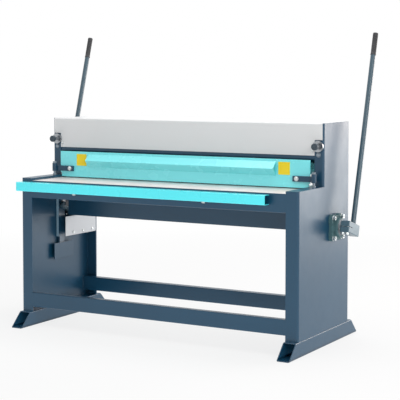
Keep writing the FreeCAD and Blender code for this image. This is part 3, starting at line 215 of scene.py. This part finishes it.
def powder_coat(name, hex_code, roughness=0.34, coat=1.0, edge_mm=1.6, patch=0.05, wear_and_highlight=0.25):
    """Powder-coated sheet steel: orange-peel skin, a slow drift in tone, edges lighter as wear and painted
    highlight.

    The peel is drawn at 4 mm, about twice its real size, so that it shows."""
    material, tree, shader, place = new_material(name)
    colour = linear(hex_code)
    drift = noise(tree, place, 420, detail=1)
    body = tint(tree, spread(tree, drift, 0, 1), shaded(colour, 1 - patch), shaded(colour, 1 + patch))
    rounded = soft_edges(tree, edge_mm)
    rubbed_and_lit = spread(tree, noise(tree, place, 14, detail=4), 0, wear_and_highlight, (0.42, 0.66))
    worn_and_lit_edge = edge_mask(tree, rounded, rubbed_and_lit)
    peel = noise(tree, place, 4, detail=1)
    # Edges are lightened to 2.2 times the paint's colour: partly rubbed-through wear, partly a painted
    # highlight.
    tree.links.new(tint(tree, worn_and_lit_edge, body, shaded(colour, 2.2)), shader.inputs["Base Color"])
    tree.links.new(spread(tree, noise(tree, place, 90), roughness - 0.03, roughness + 0.04),
                   shader.inputs["Roughness"])
    skin = bump(tree, peel, 0.12, 0.2, rounded)
    tree.links.new(skin, shader.inputs["Normal"])
    tree.links.new(skin, shader.inputs["Coat Normal"])
    shader.inputs["IOR"].default_value = PAINT_IOR
    shader.inputs["Coat Weight"].default_value = coat
    shader.inputs["Coat Roughness"].default_value = PAINT_COAT_ROUGHNESS
    return material


def steel(name, hex_code, roughness=0.3, grain_mm=0.6, stretch=(1, 1, 1), depth_mm=0.02, edge_mm=0.6):
    """Bare steel whose grain follows the way it was made: drawn out along the cut, turned or ground."""
    material, tree, shader, place = new_material(name)
    colour = linear(hex_code)
    grain = noise(tree, place, grain_mm, detail=3, stretch=stretch)
    stain = noise(tree, place, 70, detail=4)
    body = tint(tree, spread(tree, stain, 0, 1), shaded(colour, 0.9), shaded(colour, 1.04))
    tree.links.new(body, shader.inputs["Base Color"])
    tree.links.new(spread(tree, grain, roughness - 0.07, roughness + 0.09), shader.inputs["Roughness"])
    tree.links.new(bump(tree, grain, depth_mm, 0.35, soft_edges(tree, edge_mm)), shader.inputs["Normal"])
    shader.inputs["Metallic"].default_value = 1.0
    return material


def edge_highlight_paint(name, hex_code, above):
    """Painted plate with a painted highlight on its long edges: dark on the broad faces, with a
    thin pale line on each edge that faces front or back, above a height in metres."""
    material, tree, shader, place = new_material(name)
    paint = linear(hex_code)
    facing_y = add(tree, "ShaderNodeSeparateXYZ",
                   links={0: add(tree, "ShaderNodeNewGeometry").outputs["True Normal"]}).outputs["Y"]
    height = add(tree, "ShaderNodeSeparateXYZ", links={0: place}).outputs["Z"]
    steep = add(tree, "ShaderNodeMath", {"operation": "ABSOLUTE"}, {0: facing_y}).outputs[0]
    on_edge = add(tree, "ShaderNodeMath", {"operation": "GREATER_THAN", 1: 0.9}, {0: steep}).outputs[0]
    raised = add(tree, "ShaderNodeMath", {"operation": "GREATER_THAN", 1: above}, {0: height}).outputs[0]
    edge_highlight_mask = add(tree, "ShaderNodeMath", {"operation": "MULTIPLY"}, {0: on_edge, 1: raised}).outputs[0]
    score = noise(tree, place, 0.5, detail=3, stretch=(1, 1, 60))
    coat = tint(tree, spread(tree, noise(tree, place, 120), 0, 1), shaded(paint, 0.92), shaded(paint, 1.08))
    # The pale blue-grey on the edges is a painted highlight.
    painted_edge_highlight = tint(tree, spread(tree, score, 0, 1), linear("#9ec0d2"), linear("#86a9bd"))
    tree.links.new(tint(tree, edge_highlight_mask, coat, painted_edge_highlight), shader.inputs["Base Color"])
    tree.links.new(spread(tree, edge_highlight_mask, 0.36, 0.55, (0, 1)), shader.inputs["Roughness"])
    tree.links.new(spread(tree, edge_highlight_mask, 1, 0, (0, 1)), shader.inputs["Coat Weight"])
    skin = bump(tree, score, 0.03, 0.3, soft_edges(tree, 1.0))
    tree.links.new(skin, shader.inputs["Normal"])
    tree.links.new(skin, shader.inputs["Coat Normal"])
    shader.inputs["Coat Roughness"].default_value = PAINT_COAT_ROUGHNESS
    return material


def cast_iron_paint():
    """Sand-cast iron under thin green-grey paint: a pebbled skin that takes a soft sheen."""
    material, tree, shader, place = new_material("painted_cast_iron")
    colour = linear("#45676c")
    grit = noise(tree, place, 2.2, detail=4)
    body = tint(tree, spread(tree, noise(tree, place, 30), 0, 1), shaded(colour, 0.85), shaded(colour, 1.12))
    tree.links.new(body, shader.inputs["Base Color"])
    tree.links.new(spread(tree, grit, 0.42, 0.62), shader.inputs["Roughness"])
    tree.links.new(bump(tree, grit, 0.35, 0.5, soft_edges(tree, 2.0)), shader.inputs["Normal"])
    shader.inputs["IOR"].default_value = PAINT_IOR
    return material


def zinc_plate():
    """Bright zinc-plated screws: pale, slightly blue, with cloudy patches where they were handled."""
    material, tree, shader, place = new_material("zinc_plated_steel")
    cloud = noise(tree, place, 5, detail=3)
    body = tint(tree, spread(tree, cloud, 0, 1), linear("#d9dde0"), linear("#c3c9c6"))
    tree.links.new(body, shader.inputs["Base Color"])
    tree.links.new(spread(tree, cloud, 0.22, 0.40), shader.inputs["Roughness"])
    tree.links.new(bump(tree, cloud, 0.02, 0.3, soft_edges(tree, 0.5)), shader.inputs["Normal"])
    shader.inputs["Metallic"].default_value = 1.0
    return material


def moulded_rubber():
    """Moulded black rubber: matt, with a fine pebble and greyer where hands have rubbed it."""
    material, tree, shader, place = new_material("moulded_rubber")
    pebble = noise(tree, place, 1.2, detail=2)
    rub = noise(tree, place, 22, detail=3)
    body = tint(tree, spread(tree, rub, 0, 1), linear("#2c2d2f"), linear("#3d3e41"))
    tree.links.new(body, shader.inputs["Base Color"])
    tree.links.new(spread(tree, rub, 0.55, 0.75), shader.inputs["Roughness"])
    tree.links.new(bump(tree, pebble, 0.15, 0.4), shader.inputs["Normal"])
    shader.inputs["IOR"].default_value = 1.52
    return material


def moulded_nylon():
    """Glass-filled nylon knobs: dark blue-grey with a faint fibre texture."""
    material, tree, shader, place = new_material("glass_filled_nylon")
    fibre = noise(tree, place, 0.9, detail=3)
    body = tint(tree, spread(tree, noise(tree, place, 12), 0, 1), linear("#2e3b45"), linear("#3b4a55"))
    tree.links.new(body, shader.inputs["Base Color"])
    tree.links.new(spread(tree, fibre, 0.38, 0.55), shader.inputs["Roughness"])
    tree.links.new(bump(tree, fibre, 0.06, 0.4), shader.inputs["Normal"])
    shader.inputs["IOR"].default_value = 1.53
    return material


# Each finish, with the parts that carry it.
NAVY = powder_coat("powder_coat_navy", NAVY_HEX, coat=0.1)
BLUE_GREY = powder_coat("enamel_blue_grey", "#3c5562", roughness=0.3, coat=0.2)
WHITE = powder_coat("powder_coat_white", "#e0e1e2", roughness=0.38, coat=0.0, patch=0.01, wear_and_highlight=0.1)
LIGHT_GREY = powder_coat("powder_coat_light_grey", "#c2c7cc", roughness=0.42, coat=0.2, patch=0.02, wear_and_highlight=0.1)
CYAN = powder_coat("enamel_cyan", "#48edf8", roughness=0.28, patch=0.02, wear_and_highlight=0.1)
TURQUOISE = powder_coat("enamel_turquoise", "#7cf4fa", roughness=0.26, patch=0.015, wear_and_highlight=0.1)
YELLOW = powder_coat("enamel_yellow", "#ffe208", roughness=0.32, coat=0.3, edge_mm=0.5, patch=0.03, wear_and_highlight=0.05)
STEEL_BLUE = powder_coat("enamel_steel_blue", "#4c6673", roughness=0.3, coat=0.2, patch=0.05, wear_and_highlight=0.4)
GROUND_STEEL = steel("surface_ground_steel", "#d8d0ce", 0.62, 0.5, stretch=(60, 1, 1))
BLADE_STEEL = steel("ground_tool_steel", "#c4c7cb", 0.25, 0.5, stretch=(80, 1, 1), edge_mm=0.3)
TURNED_STEEL = steel("turned_steel", "#a9adb1", 0.28, 0.5, stretch=(1, 30, 30))
DRAWN_STEEL = steel("drawn_steel_rod", "#b3b7ba", 0.26, 0.5, stretch=(1, 1, 60))
BLACKENED_STEEL = steel("blackened_steel", "#87929b", 0.36, 1.5)
# Navy paint with a painted highlight on the pull plates' edges.
NAVY_WITH_EDGE_HIGHLIGHT = edge_highlight_paint("painted_plate_edge_highlight", NAVY_HEX, PULL_PLATE_FOOT)
ZINC = zinc_plate()
CAST_IRON = cast_iron_paint()
RUBBER = moulded_rubber()
NYLON = moulded_nylon()

FINISHES = {
    "left_foot right_foot left_side_frame right_side_frame front_rail rear_rail apron table_ribs bed_beam "
    "cross_beam left_guide_strap right_guide_strap left_clamp_arm right_clamp_arm knife_beam "
    "guide_strips": NAVY,
    "left_pull_plate right_pull_plate": NAVY_WITH_EDGE_HIGHLIGHT,
    "left_crank right_crank strut_cylinders left_lever right_lever": BLUE_GREY,
    "hood": WHITE,
    "left_guard right_guard": LIGHT_GREY,
    "front_bar": CYAN,
    "clamp_beam clamp_stiffener": TURQUOISE,
    "yellow_plates": YELLOW,
    "left_hub right_hub": STEEL_BLUE,
    "table_plate guide_blocks": GROUND_STEEL,
    "lower_blade upper_blade": BLADE_STEEL,
    "torsion_shaft crank_rollers bearing_inserts adjuster_plates": TURNED_STEEL,
    "plunger_rods plunger_housings strut_rods": DRAWN_STEEL,
    "hold_down_studs adjuster_lock_screws": BLACKENED_STEEL,
    "lower_blade_screws front_bar_bolts clamp_arm_bolts hood_screws guard_screws bearing_bolts hub_screws "
    "upper_blade_screws pull_plate_bolts": ZINC,
    "left_bearing_housing right_bearing_housing": CAST_IRON,
    "left_grip right_grip": RUBBER,
    "left_knob right_knob": NYLON,
}


def dress(thing, material):
    """Gives every slot of an object one material."""
    if not thing.material_slots:
        thing.data.materials.append(material)
    for slot in thing.material_slots:
        slot.material = material


for names, finish in FINISHES.items():
    for name in names.split():
        dress(nodes[name], finish)


def finished(mesh, name, material, body):
    """Turns a bmesh into a piece that rides on a body."""
    bmesh.ops.recalc_face_normals(mesh, faces=mesh.faces)
    data = bpy.data.meshes.new(name)
    mesh.to_mesh(data)
    mesh.free()
    piece = bpy.data.objects.new(name, data)
    bpy.context.collection.objects.link(piece)
    dress(piece, material)
    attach(piece, body)
    return piece


def smooth(piece, angle_deg=35):
    """Smooth shading that keeps edges sharper than the angle."""
    for polygon in piece.data.polygons:
        polygon.use_smooth = True
    piece.data.set_sharp_from_angle(angle=math.radians(angle_deg))


def lathe(mesh, profile, steps=48):
    """Spins an outline of (radius, height) points round Z into a closed solid."""
    corners = [mesh.verts.new((radius, 0, height)) for radius, height in profile]
    edges = [mesh.edges.new(pair) for pair in zip(corners, corners[1:])]
    bmesh.ops.spin(mesh, geom=corners + edges, cent=(0, 0, 0), axis=(0, 0, 1), angle=math.tau, steps=steps,
                   use_merge=True)
    bmesh.ops.remove_doubles(mesh, verts=mesh.verts, dist=1e-6)


def solids_of(name):
    """The separate solids of a CAD node, each as its lowest and highest corner."""
    mesh = bmesh.new()
    mesh.from_mesh(nodes[name].data)
    bmesh.ops.remove_doubles(mesh, verts=mesh.verts, dist=1e-6)
    waiting = set(mesh.verts)
    boxes = []
    while waiting:
        reached = [waiting.pop()]
        for vert in reached:
            near = {edge.other_vert(vert) for edge in vert.link_edges} & waiting
            waiting -= near
            reached.extend(near)
        places = [vert.co for vert in reached]
        boxes.append((Vector(map(min, zip(*places))), Vector(map(max, zip(*places)))))
    mesh.free()
    return sorted(boxes, key=lambda pair: tuple(pair[0]))


def facing(direction, seat):
    """Turns +Z to a direction and moves the origin to a seat."""
    return Matrix.Translation(seat) @ Vector(direction).to_track_quat("Z", "Y").to_matrix().to_4x4()


def add_washer(mesh, inner, outer, thickness, place):
    """A flat washer whose upper outer edge is broken."""
    edge = thickness / 4
    ring = bmesh.new()
    lathe(ring, [(inner, 0), (outer, 0), (outer, thickness - edge), (outer - edge, thickness),
                 (inner, thickness), (inner, 0)])
    join(mesh, ring, place)


def join(mesh, part, place):
    """Moves a part into place and adds it to a larger mesh."""
    bmesh.ops.transform(part, matrix=place, verts=part.verts)
    data = bpy.data.meshes.new("part")
    part.to_mesh(data)
    part.free()
    mesh.from_mesh(data)
    bpy.data.meshes.remove(data)


def add_hex_head(mesh, corners, height, place):
    """A hexagon head whose corners are turned off to a cone on top."""
    chamfer = height * 0.22
    head = bmesh.new()
    bmesh.ops.create_cone(head, cap_ends=True, segments=6, radius1=corners / 2, radius2=corners / 2,
                          depth=height - chamfer, matrix=Matrix.Translation((0, 0, (height - chamfer) / 2)))
    top = [face for face in head.faces if face.normal.z > 0.9]
    raised = bmesh.ops.extrude_face_region(head, geom=top)["geom"]
    rim = [item for item in raised if isinstance(item, bmesh.types.BMVert)]
    bmesh.ops.scale(head, vec=(0.84, 0.84, 1), verts=rim)
    bmesh.ops.translate(head, vec=(0, 0, chamfer), verts=rim)
    bmesh.ops.delete(head, geom=top, context="FACES_ONLY")
    join(mesh, head, place)


def hex_screws(node, direction, body, material):
    """Hexagon screws with washers, each where the CAD has one; direction is where the heads point."""
    mesh = bmesh.new()
    for low, high in solids_of(node):
        outward = direction((low + high) / 2)
        axis = max(range(3), key=lambda index: abs(outward[index]))
        across = max((high - low)[index] for index in range(3) if index != axis)
        thread = across / HEAD_CORNERS
        height = thread * HEAD_HEIGHT
        seat = (low + high) / 2
        seat[axis] = high[axis] - height if outward[axis] > 0 else low[axis] + height
        place = facing(outward, seat)
        length = (high - low)[axis] - height
        shank = bmesh.new()
        bmesh.ops.create_cone(shank, cap_ends=True, segments=24, radius1=thread / 2 - SHANK_END_CHAMFER,
                              radius2=thread / 2, depth=length,
                              matrix=Matrix.Translation((0, 0, -length / 2)))
        join(mesh, shank, place)
        add_washer(mesh, thread * WASHER_BORE_RADIUS, thread * WASHER_RADIUS, thread * WASHER_THICKNESS,
                   place)
        add_hex_head(mesh, across, height, place)
    piece = finished(mesh, node + "_with_washers", material, body)
    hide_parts(node)


def towards(x, y, z):
    """Heads that all point one way."""
    return lambda centre: Vector((x, y, z))


def inwards(centre):
    """Heads that point to the machine's middle from either side."""
    return Vector((math.copysign(1, -centre[0]), 0, 0))


def lever_axis(sign):
    """Where a lever stands: from its own upright axis to its place on the machine."""
    low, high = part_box("left_hub" if sign < 0 else "right_hub")
    shaft = Vector(joints["lever_turn"]["pos_m"])
    tilt = Matrix.Rotation(-math.radians(LEVER_TILT_DEG), 4, "X")
    return Matrix.Translation(shaft) @ tilt @ Matrix.Translation(((low[0] + high[0]) / 2, LEVER_OFFSET, 0))


def rubber_grip(side, sign):
    """A push-on sleeve: rolled lip at the bottom, shallow rings, and a domed end."""
    foot = LEVER_TOP - GRIP_LENGTH
    bore = GRIP_RADIUS - 0.8 * MM
    skin = GRIP_RADIUS - 0.3 * MM
    profile = [(bore, foot), (GRIP_RADIUS, foot), (GRIP_RADIUS + 1 * MM, foot + 1.5 * MM),
               (GRIP_RADIUS + 1 * MM, foot + 4 * MM), (skin, foot + 6 * MM)]
    ring = foot + 16 * MM
    while ring < LEVER_TOP - 22 * MM:
        profile += [(skin, ring), (skin - 0.5 * MM, ring + 0.8 * MM), (skin - 0.5 * MM, ring + 2.2 * MM),
                    (skin, ring + 3 * MM)]
        ring += 10 * MM
    dome = 5 * MM
    for step in range(7):
        turn = math.radians(15 * step)
        profile.append((skin - dome * (1 - math.cos(turn)), LEVER_TOP - dome + dome * math.sin(turn)))
    profile += [(0, LEVER_TOP), (0, LEVER_TOP - 6 * MM), (bore, LEVER_TOP - 6 * MM), (bore, foot)]
    mesh = bmesh.new()
    lathe(mesh, profile)
    bmesh.ops.transform(mesh, matrix=lever_axis(sign), verts=mesh.verts)
    piece = finished(mesh, side + "_rubber_grip", RUBBER, "lever_shaft")
    smooth(piece)
    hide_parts(side + "_grip")


def fluted_knob(side):
    """A round knob with finger flutes and a dished face, on a steel stem."""
    low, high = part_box(side + "_knob")
    radius = (high[0] - low[0]) / 2
    place = facing((0, 1, 0), ((low[0] + high[0]) / 2, low[1], (low[2] + high[2]) / 2))
    mesh = bmesh.new()
    lathe(mesh, [(0, 2.5 * MM), (radius - 7 * MM, 2.5 * MM), (radius - 5.5 * MM, 0.4 * MM),
                 (radius - 2.2 * MM, 0), (radius - 0.6 * MM, 0.8 * MM), (radius, 2.6 * MM),
                 (radius, KNOB_LENGTH - 6 * MM), (radius - 0.8 * MM, KNOB_LENGTH - 4.5 * MM),
                 (radius - 6 * MM, KNOB_LENGTH), (0, KNOB_LENGTH)], steps=96)
    for vert in mesh.verts:
        reach = math.hypot(vert.co.x, vert.co.y)
        if reach > radius - 1 * MM and vert.co.z < KNOB_LENGTH - 4 * MM:
            flute = max(0.0, math.cos(KNOB_FLUTES * math.atan2(vert.co.y, vert.co.x))) * FLUTE_DEPTH
            vert.co.x *= 1 - flute / reach
            vert.co.y *= 1 - flute / reach
    bmesh.ops.transform(mesh, matrix=place, verts=mesh.verts)
    knob = finished(mesh, side + "_fluted_knob", NYLON, side + "_knob")
    smooth(knob)
    stem = bmesh.new()
    total = high[1] - low[1]
    lathe(stem, [(0, KNOB_LENGTH - 2 * MM), (STEM_RADIUS, KNOB_LENGTH - 2 * MM),
                 (STEM_RADIUS, total - 1 * MM), (STEM_RADIUS - 1 * MM, total), (0, total)])
    bmesh.ops.transform(stem, matrix=place, verts=stem.verts)
    rod = finished(stem, side + "_knob_stem", TURNED_STEEL, side + "_knob")
    smooth(rod)
    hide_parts(side + "_knob")


def bearing_fittings(side, sign):
    """A bearing's washers, the two set screws in its collar and its grease nipple."""
    shaft = Vector(joints["lever_turn"]["pos_m"])
    low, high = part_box(side + "_bearing_housing")
    face = sign * (abs(low[0] + high[0]) / 2 - (high[0] - low[0]) / 2 + FLANGE_THICKNESS)
    mesh = bmesh.new()
    for screw_low, screw_high in solids_of("bearing_bolts"):
        centre = (screw_low + screw_high) / 2
        if centre[0] * sign > 0:
            add_washer(mesh, *FLANGE_WASHER, facing((sign, 0, 0), (face, centre[1], centre[2])))
    collar_end = sign * (abs(low[0] + high[0]) / 2 + (high[0] - low[0]) / 2 + COLLAR_LENGTH / 2)
    for angle in SET_SCREW_ANGLES_DEG:
        out = Vector((0, -math.sin(math.radians(angle)), math.cos(math.radians(angle))))
        screw = bmesh.new()
        lathe(screw, [(0, -1.5 * MM), (2 * MM, -1.5 * MM), (2 * MM, 0.8 * MM), (3.4 * MM, 0.8 * MM),
                      (4 * MM, 0.2 * MM), (4 * MM, -4 * MM), (0, -4 * MM)], steps=24)
        join(mesh, screw, facing(out, Vector((collar_end, shaft[1], shaft[2])) + out * COLLAR_RADIUS))
    out = Vector((0, 1, 1)).normalized()
    nipple = bmesh.new()
    lathe(nipple, [(0, -4 * MM), (3 * MM, -4 * MM), (3 * MM, 0), (4.6 * MM, 0), (4.6 * MM, 4 * MM),
                   (3 * MM, 5 * MM), (2.2 * MM, 6.5 * MM), (2.2 * MM, 8 * MM), (3.2 * MM, 9.5 * MM),
                   (3 * MM, 11 * MM), (1.4 * MM, 12.6 * MM), (0, 12.8 * MM)], steps=24)
    boss_place = Vector((face + sign * NIPPLE_PLACE, shaft[1], shaft[2])) + out * BOSS_RADIUS
    join(mesh, nipple, facing(out, boss_place))
    piece = finished(mesh, side + "_bearing_fittings", ZINC, "frame")
    smooth(piece)


def add_seam(mesh, start, end, radius=SEAM_RADIUS):
    """A weld bead along a straight corner, rippled as each drop froze over the last."""
    start, end = Vector(start), Vector(end)
    length = (end - start).length
    seam = bmesh.new()
    bmesh.ops.create_cone(seam, cap_ends=True, segments=8, radius1=radius, radius2=radius, depth=length)
    along = [edge for edge in seam.edges if abs(edge.verts[0].co.z - edge.verts[1].co.z) > length / 2]
    bmesh.ops.subdivide_edges(seam, edges=along, cuts=int(length / RIPPLE * 3), use_grid_fill=True)
    for vert in seam.verts:
        ripple = 1 - 0.28 * (vert.co.z / RIPPLE % 1)
        vert.co.x *= ripple
        vert.co.y *= ripple
    join(mesh, seam, facing(end - start, (start + end) / 2))


def frame_welds():
    """The beads that hold the stand together, under the same paint."""
    mesh = bmesh.new()
    for side, sign in SIDES:
        low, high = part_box(side + "_side_frame")
        outer = sign * max(abs(low[0]), abs(high[0]))
        web = outer - sign * PLATE
        flange = outer - sign * (high[0] - low[0])
        foot_top = low[2]
        front, rear = low[1], high[1]
        add_seam(mesh, (web, front + PLATE, foot_top), (web, rear - PLATE, foot_top))
        for y in (front + PLATE, rear - PLATE):
            add_seam(mesh, (flange, y, foot_top), (web, y, foot_top))
        add_seam(mesh, (flange, front, foot_top), (outer - sign * FRONT_SEAM_MARGIN, front, foot_top),
                 FRONT_SEAM_RADIUS)
        rail_low, rail_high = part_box("rear_rail")
        for z in (rail_low[2], rail_high[2]):
            add_seam(mesh, (web, rail_low[1], z), (web, rail_high[1], z))
        add_seam(mesh, (web, rail_low[1], rail_low[2]), (web, rail_low[1], rail_high[2]))
        rail_low, rail_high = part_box("front_rail")
        add_seam(mesh, (flange, front + PLATE, rail_low[2]), (flange, front + PLATE, rail_high[2]))
        strap_low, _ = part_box(side + "_guide_strap")
        for offset in STRAP_SEAM_Y:
            y = strap_low[1] + offset
            add_seam(mesh, (web, y, strap_low[2]), (web, y, strap_low[2] + STRAP_SEAM_LENGTH),
                     STRAP_SEAM_RADIUS)
    piece = finished(mesh, "stand_welds", NAVY, "frame")
    smooth(piece, 60)


for side, sign in SIDES:
    rubber_grip(side, sign)
    fluted_knob(side)
    bearing_fittings(side, sign)
frame_welds()
for node, direction, body, slot, finish in (
        ("hood_screws", towards(0, -1, 0), "frame", "zinc_steel", ZINC),
        ("adjuster_lock_screws", towards(0, -1, 0), "frame", "dark_steel", BLACKENED_STEEL),
        ("clamp_arm_bolts", towards(0, -1, 0), "clamp", "zinc_steel", ZINC),
        ("front_bar_bolts", towards(0, 0, -1), "frame", "zinc_steel", ZINC),
        ("guard_screws", inwards, "frame", "zinc_steel", ZINC),
        ("lower_blade_screws", towards(0, -1, 0), "frame", "zinc_steel", ZINC),
        ("upper_blade_screws", towards(0, 1, 0), "knife", "zinc_steel", ZINC),
        ("pull_plate_bolts", towards(0, 1, 0), "knife", "zinc_steel", ZINC)):
    hex_screws(node, direction, body, finish)


def studio():
    """A pale floor that fades into white, soft lamps round the machine, and even light from the sky."""
    mesh = bmesh.new()
    bmesh.ops.create_grid(mesh, x_segments=1, y_segments=1, size=FLOOR_HALF_WIDTH)
    data = bpy.data.meshes.new("studio_floor")
    mesh.to_mesh(data)
    mesh.free()
    floor = bpy.data.objects.new("studio_floor", data)
    bpy.context.collection.objects.link(floor)
    floor.data.materials.append(floor_paint())
    for name, settings in LAMPS.items():
        soft_lamp(name, *settings)
    world_light()


def background_rays(tree):
    """Rays that meet the plain white background: the camera's own, and mirrored or refracted ones."""
    path = add(tree, "ShaderNodeLightPath")
    mirrored = add(tree, "ShaderNodeMath", {"operation": "MAXIMUM"},
                   {0: path.outputs["Is Glossy Ray"], 1: path.outputs["Is Transmission Ray"]})
    return add(tree, "ShaderNodeMath", {"operation": "MAXIMUM"},
               {0: path.outputs["Is Camera Ray"], 1: mirrored.outputs[0]}).outputs[0]


def floor_paint():
    """White studio floor: near white to the eye and in reflections, and shaded by the machine."""
    material = bpy.data.materials.new("studio_floor_paint")
    material.use_nodes = True
    tree = material.node_tree
    tree.nodes.clear()
    place = add(tree, "ShaderNodeTexCoord").outputs["Object"]
    reach = add(tree, "ShaderNodeVectorMath", {"operation": "LENGTH"}, {0: place}).outputs["Value"]
    glow = add(tree, "ShaderNodeEmission", {"Color": (1, 1, 1, 1), "Strength": 1.0})
    matt = add(tree, "ShaderNodeBsdfDiffuse", {"Color": linear(FLOOR_HEX)})
    fade = spread(tree, reach, WHITE_SHARE_NEAR, 1.0, (SHADOW_FADE_START, SHADOW_FADE_END))
    share = add(tree, "ShaderNodeMath", {"operation": "MULTIPLY"}, {0: background_rays(tree), 1: fade})
    both = add(tree, "ShaderNodeMixShader",
               links={0: share.outputs[0], 1: matt.outputs[0], 2: glow.outputs[0]})
    add(tree, "ShaderNodeOutputMaterial", links={"Surface": both.outputs[0]})
    return material


def soft_lamp(name, place, target, size, brightness, colour):
    """A softbox; its power follows from its size and from how bright its face looks."""
    data = bpy.data.lights.new(name, "AREA")
    data.shape = "RECTANGLE"
    data.size, data.size_y = size
    data.color = linear(colour)[:3]
    data.energy = brightness * math.pi * size[0] * size[1]
    lamp = bpy.data.objects.new(name, data)
    lamp.visible_camera = False
    lamp.visible_glossy = name not in UNMIRRORED_LAMPS
    lamp.location = place
    lamp.rotation_euler = (Vector(target) - Vector(place)).to_track_quat("-Z", "Y").to_euler()
    bpy.context.collection.objects.link(lamp)


def world_light():
    """Even light for surfaces; the camera and reflections see plain white."""
    world = bpy.data.worlds.new("studio_world")
    bpy.context.scene.world = world
    world.use_nodes = True
    tree = world.node_tree
    tree.nodes.clear()
    strength = add(tree, "ShaderNodeMath", {"operation": "MAXIMUM", 1: SKY_STRENGTH},
                   {0: background_rays(tree)})
    sky = add(tree, "ShaderNodeBackground", {"Color": (1, 1, 1, 1)}, {"Strength": strength.outputs[0]})
    add(tree, "ShaderNodeOutputWorld", links={"Surface": sky.outputs[0]})


def camera():
    """Stands where the photograph was taken and looks the same way."""
    data = bpy.data.cameras.new("photo_camera")
    data.sensor_width = SENSOR_WIDTH_MM
    data.lens = FOCAL_LENGTH_PX / PHOTO_WIDTH_PX * SENSOR_WIDTH_MM
    data.shift_y = HORIZON_OFFSET_PX / PHOTO_WIDTH_PX
    seat = bpy.data.objects.new("photo_camera", data)
    seat.location = CAMERA_PLACE
    seat.rotation_euler = (math.radians(90 - CAMERA_PITCH_DEG), 0, math.radians(CAMERA_YAW_DEG))
    bpy.context.collection.objects.link(seat)
    bpy.context.scene.camera = seat


studio()
camera()
bpy.context.scene.view_settings.view_transform = "Standard"
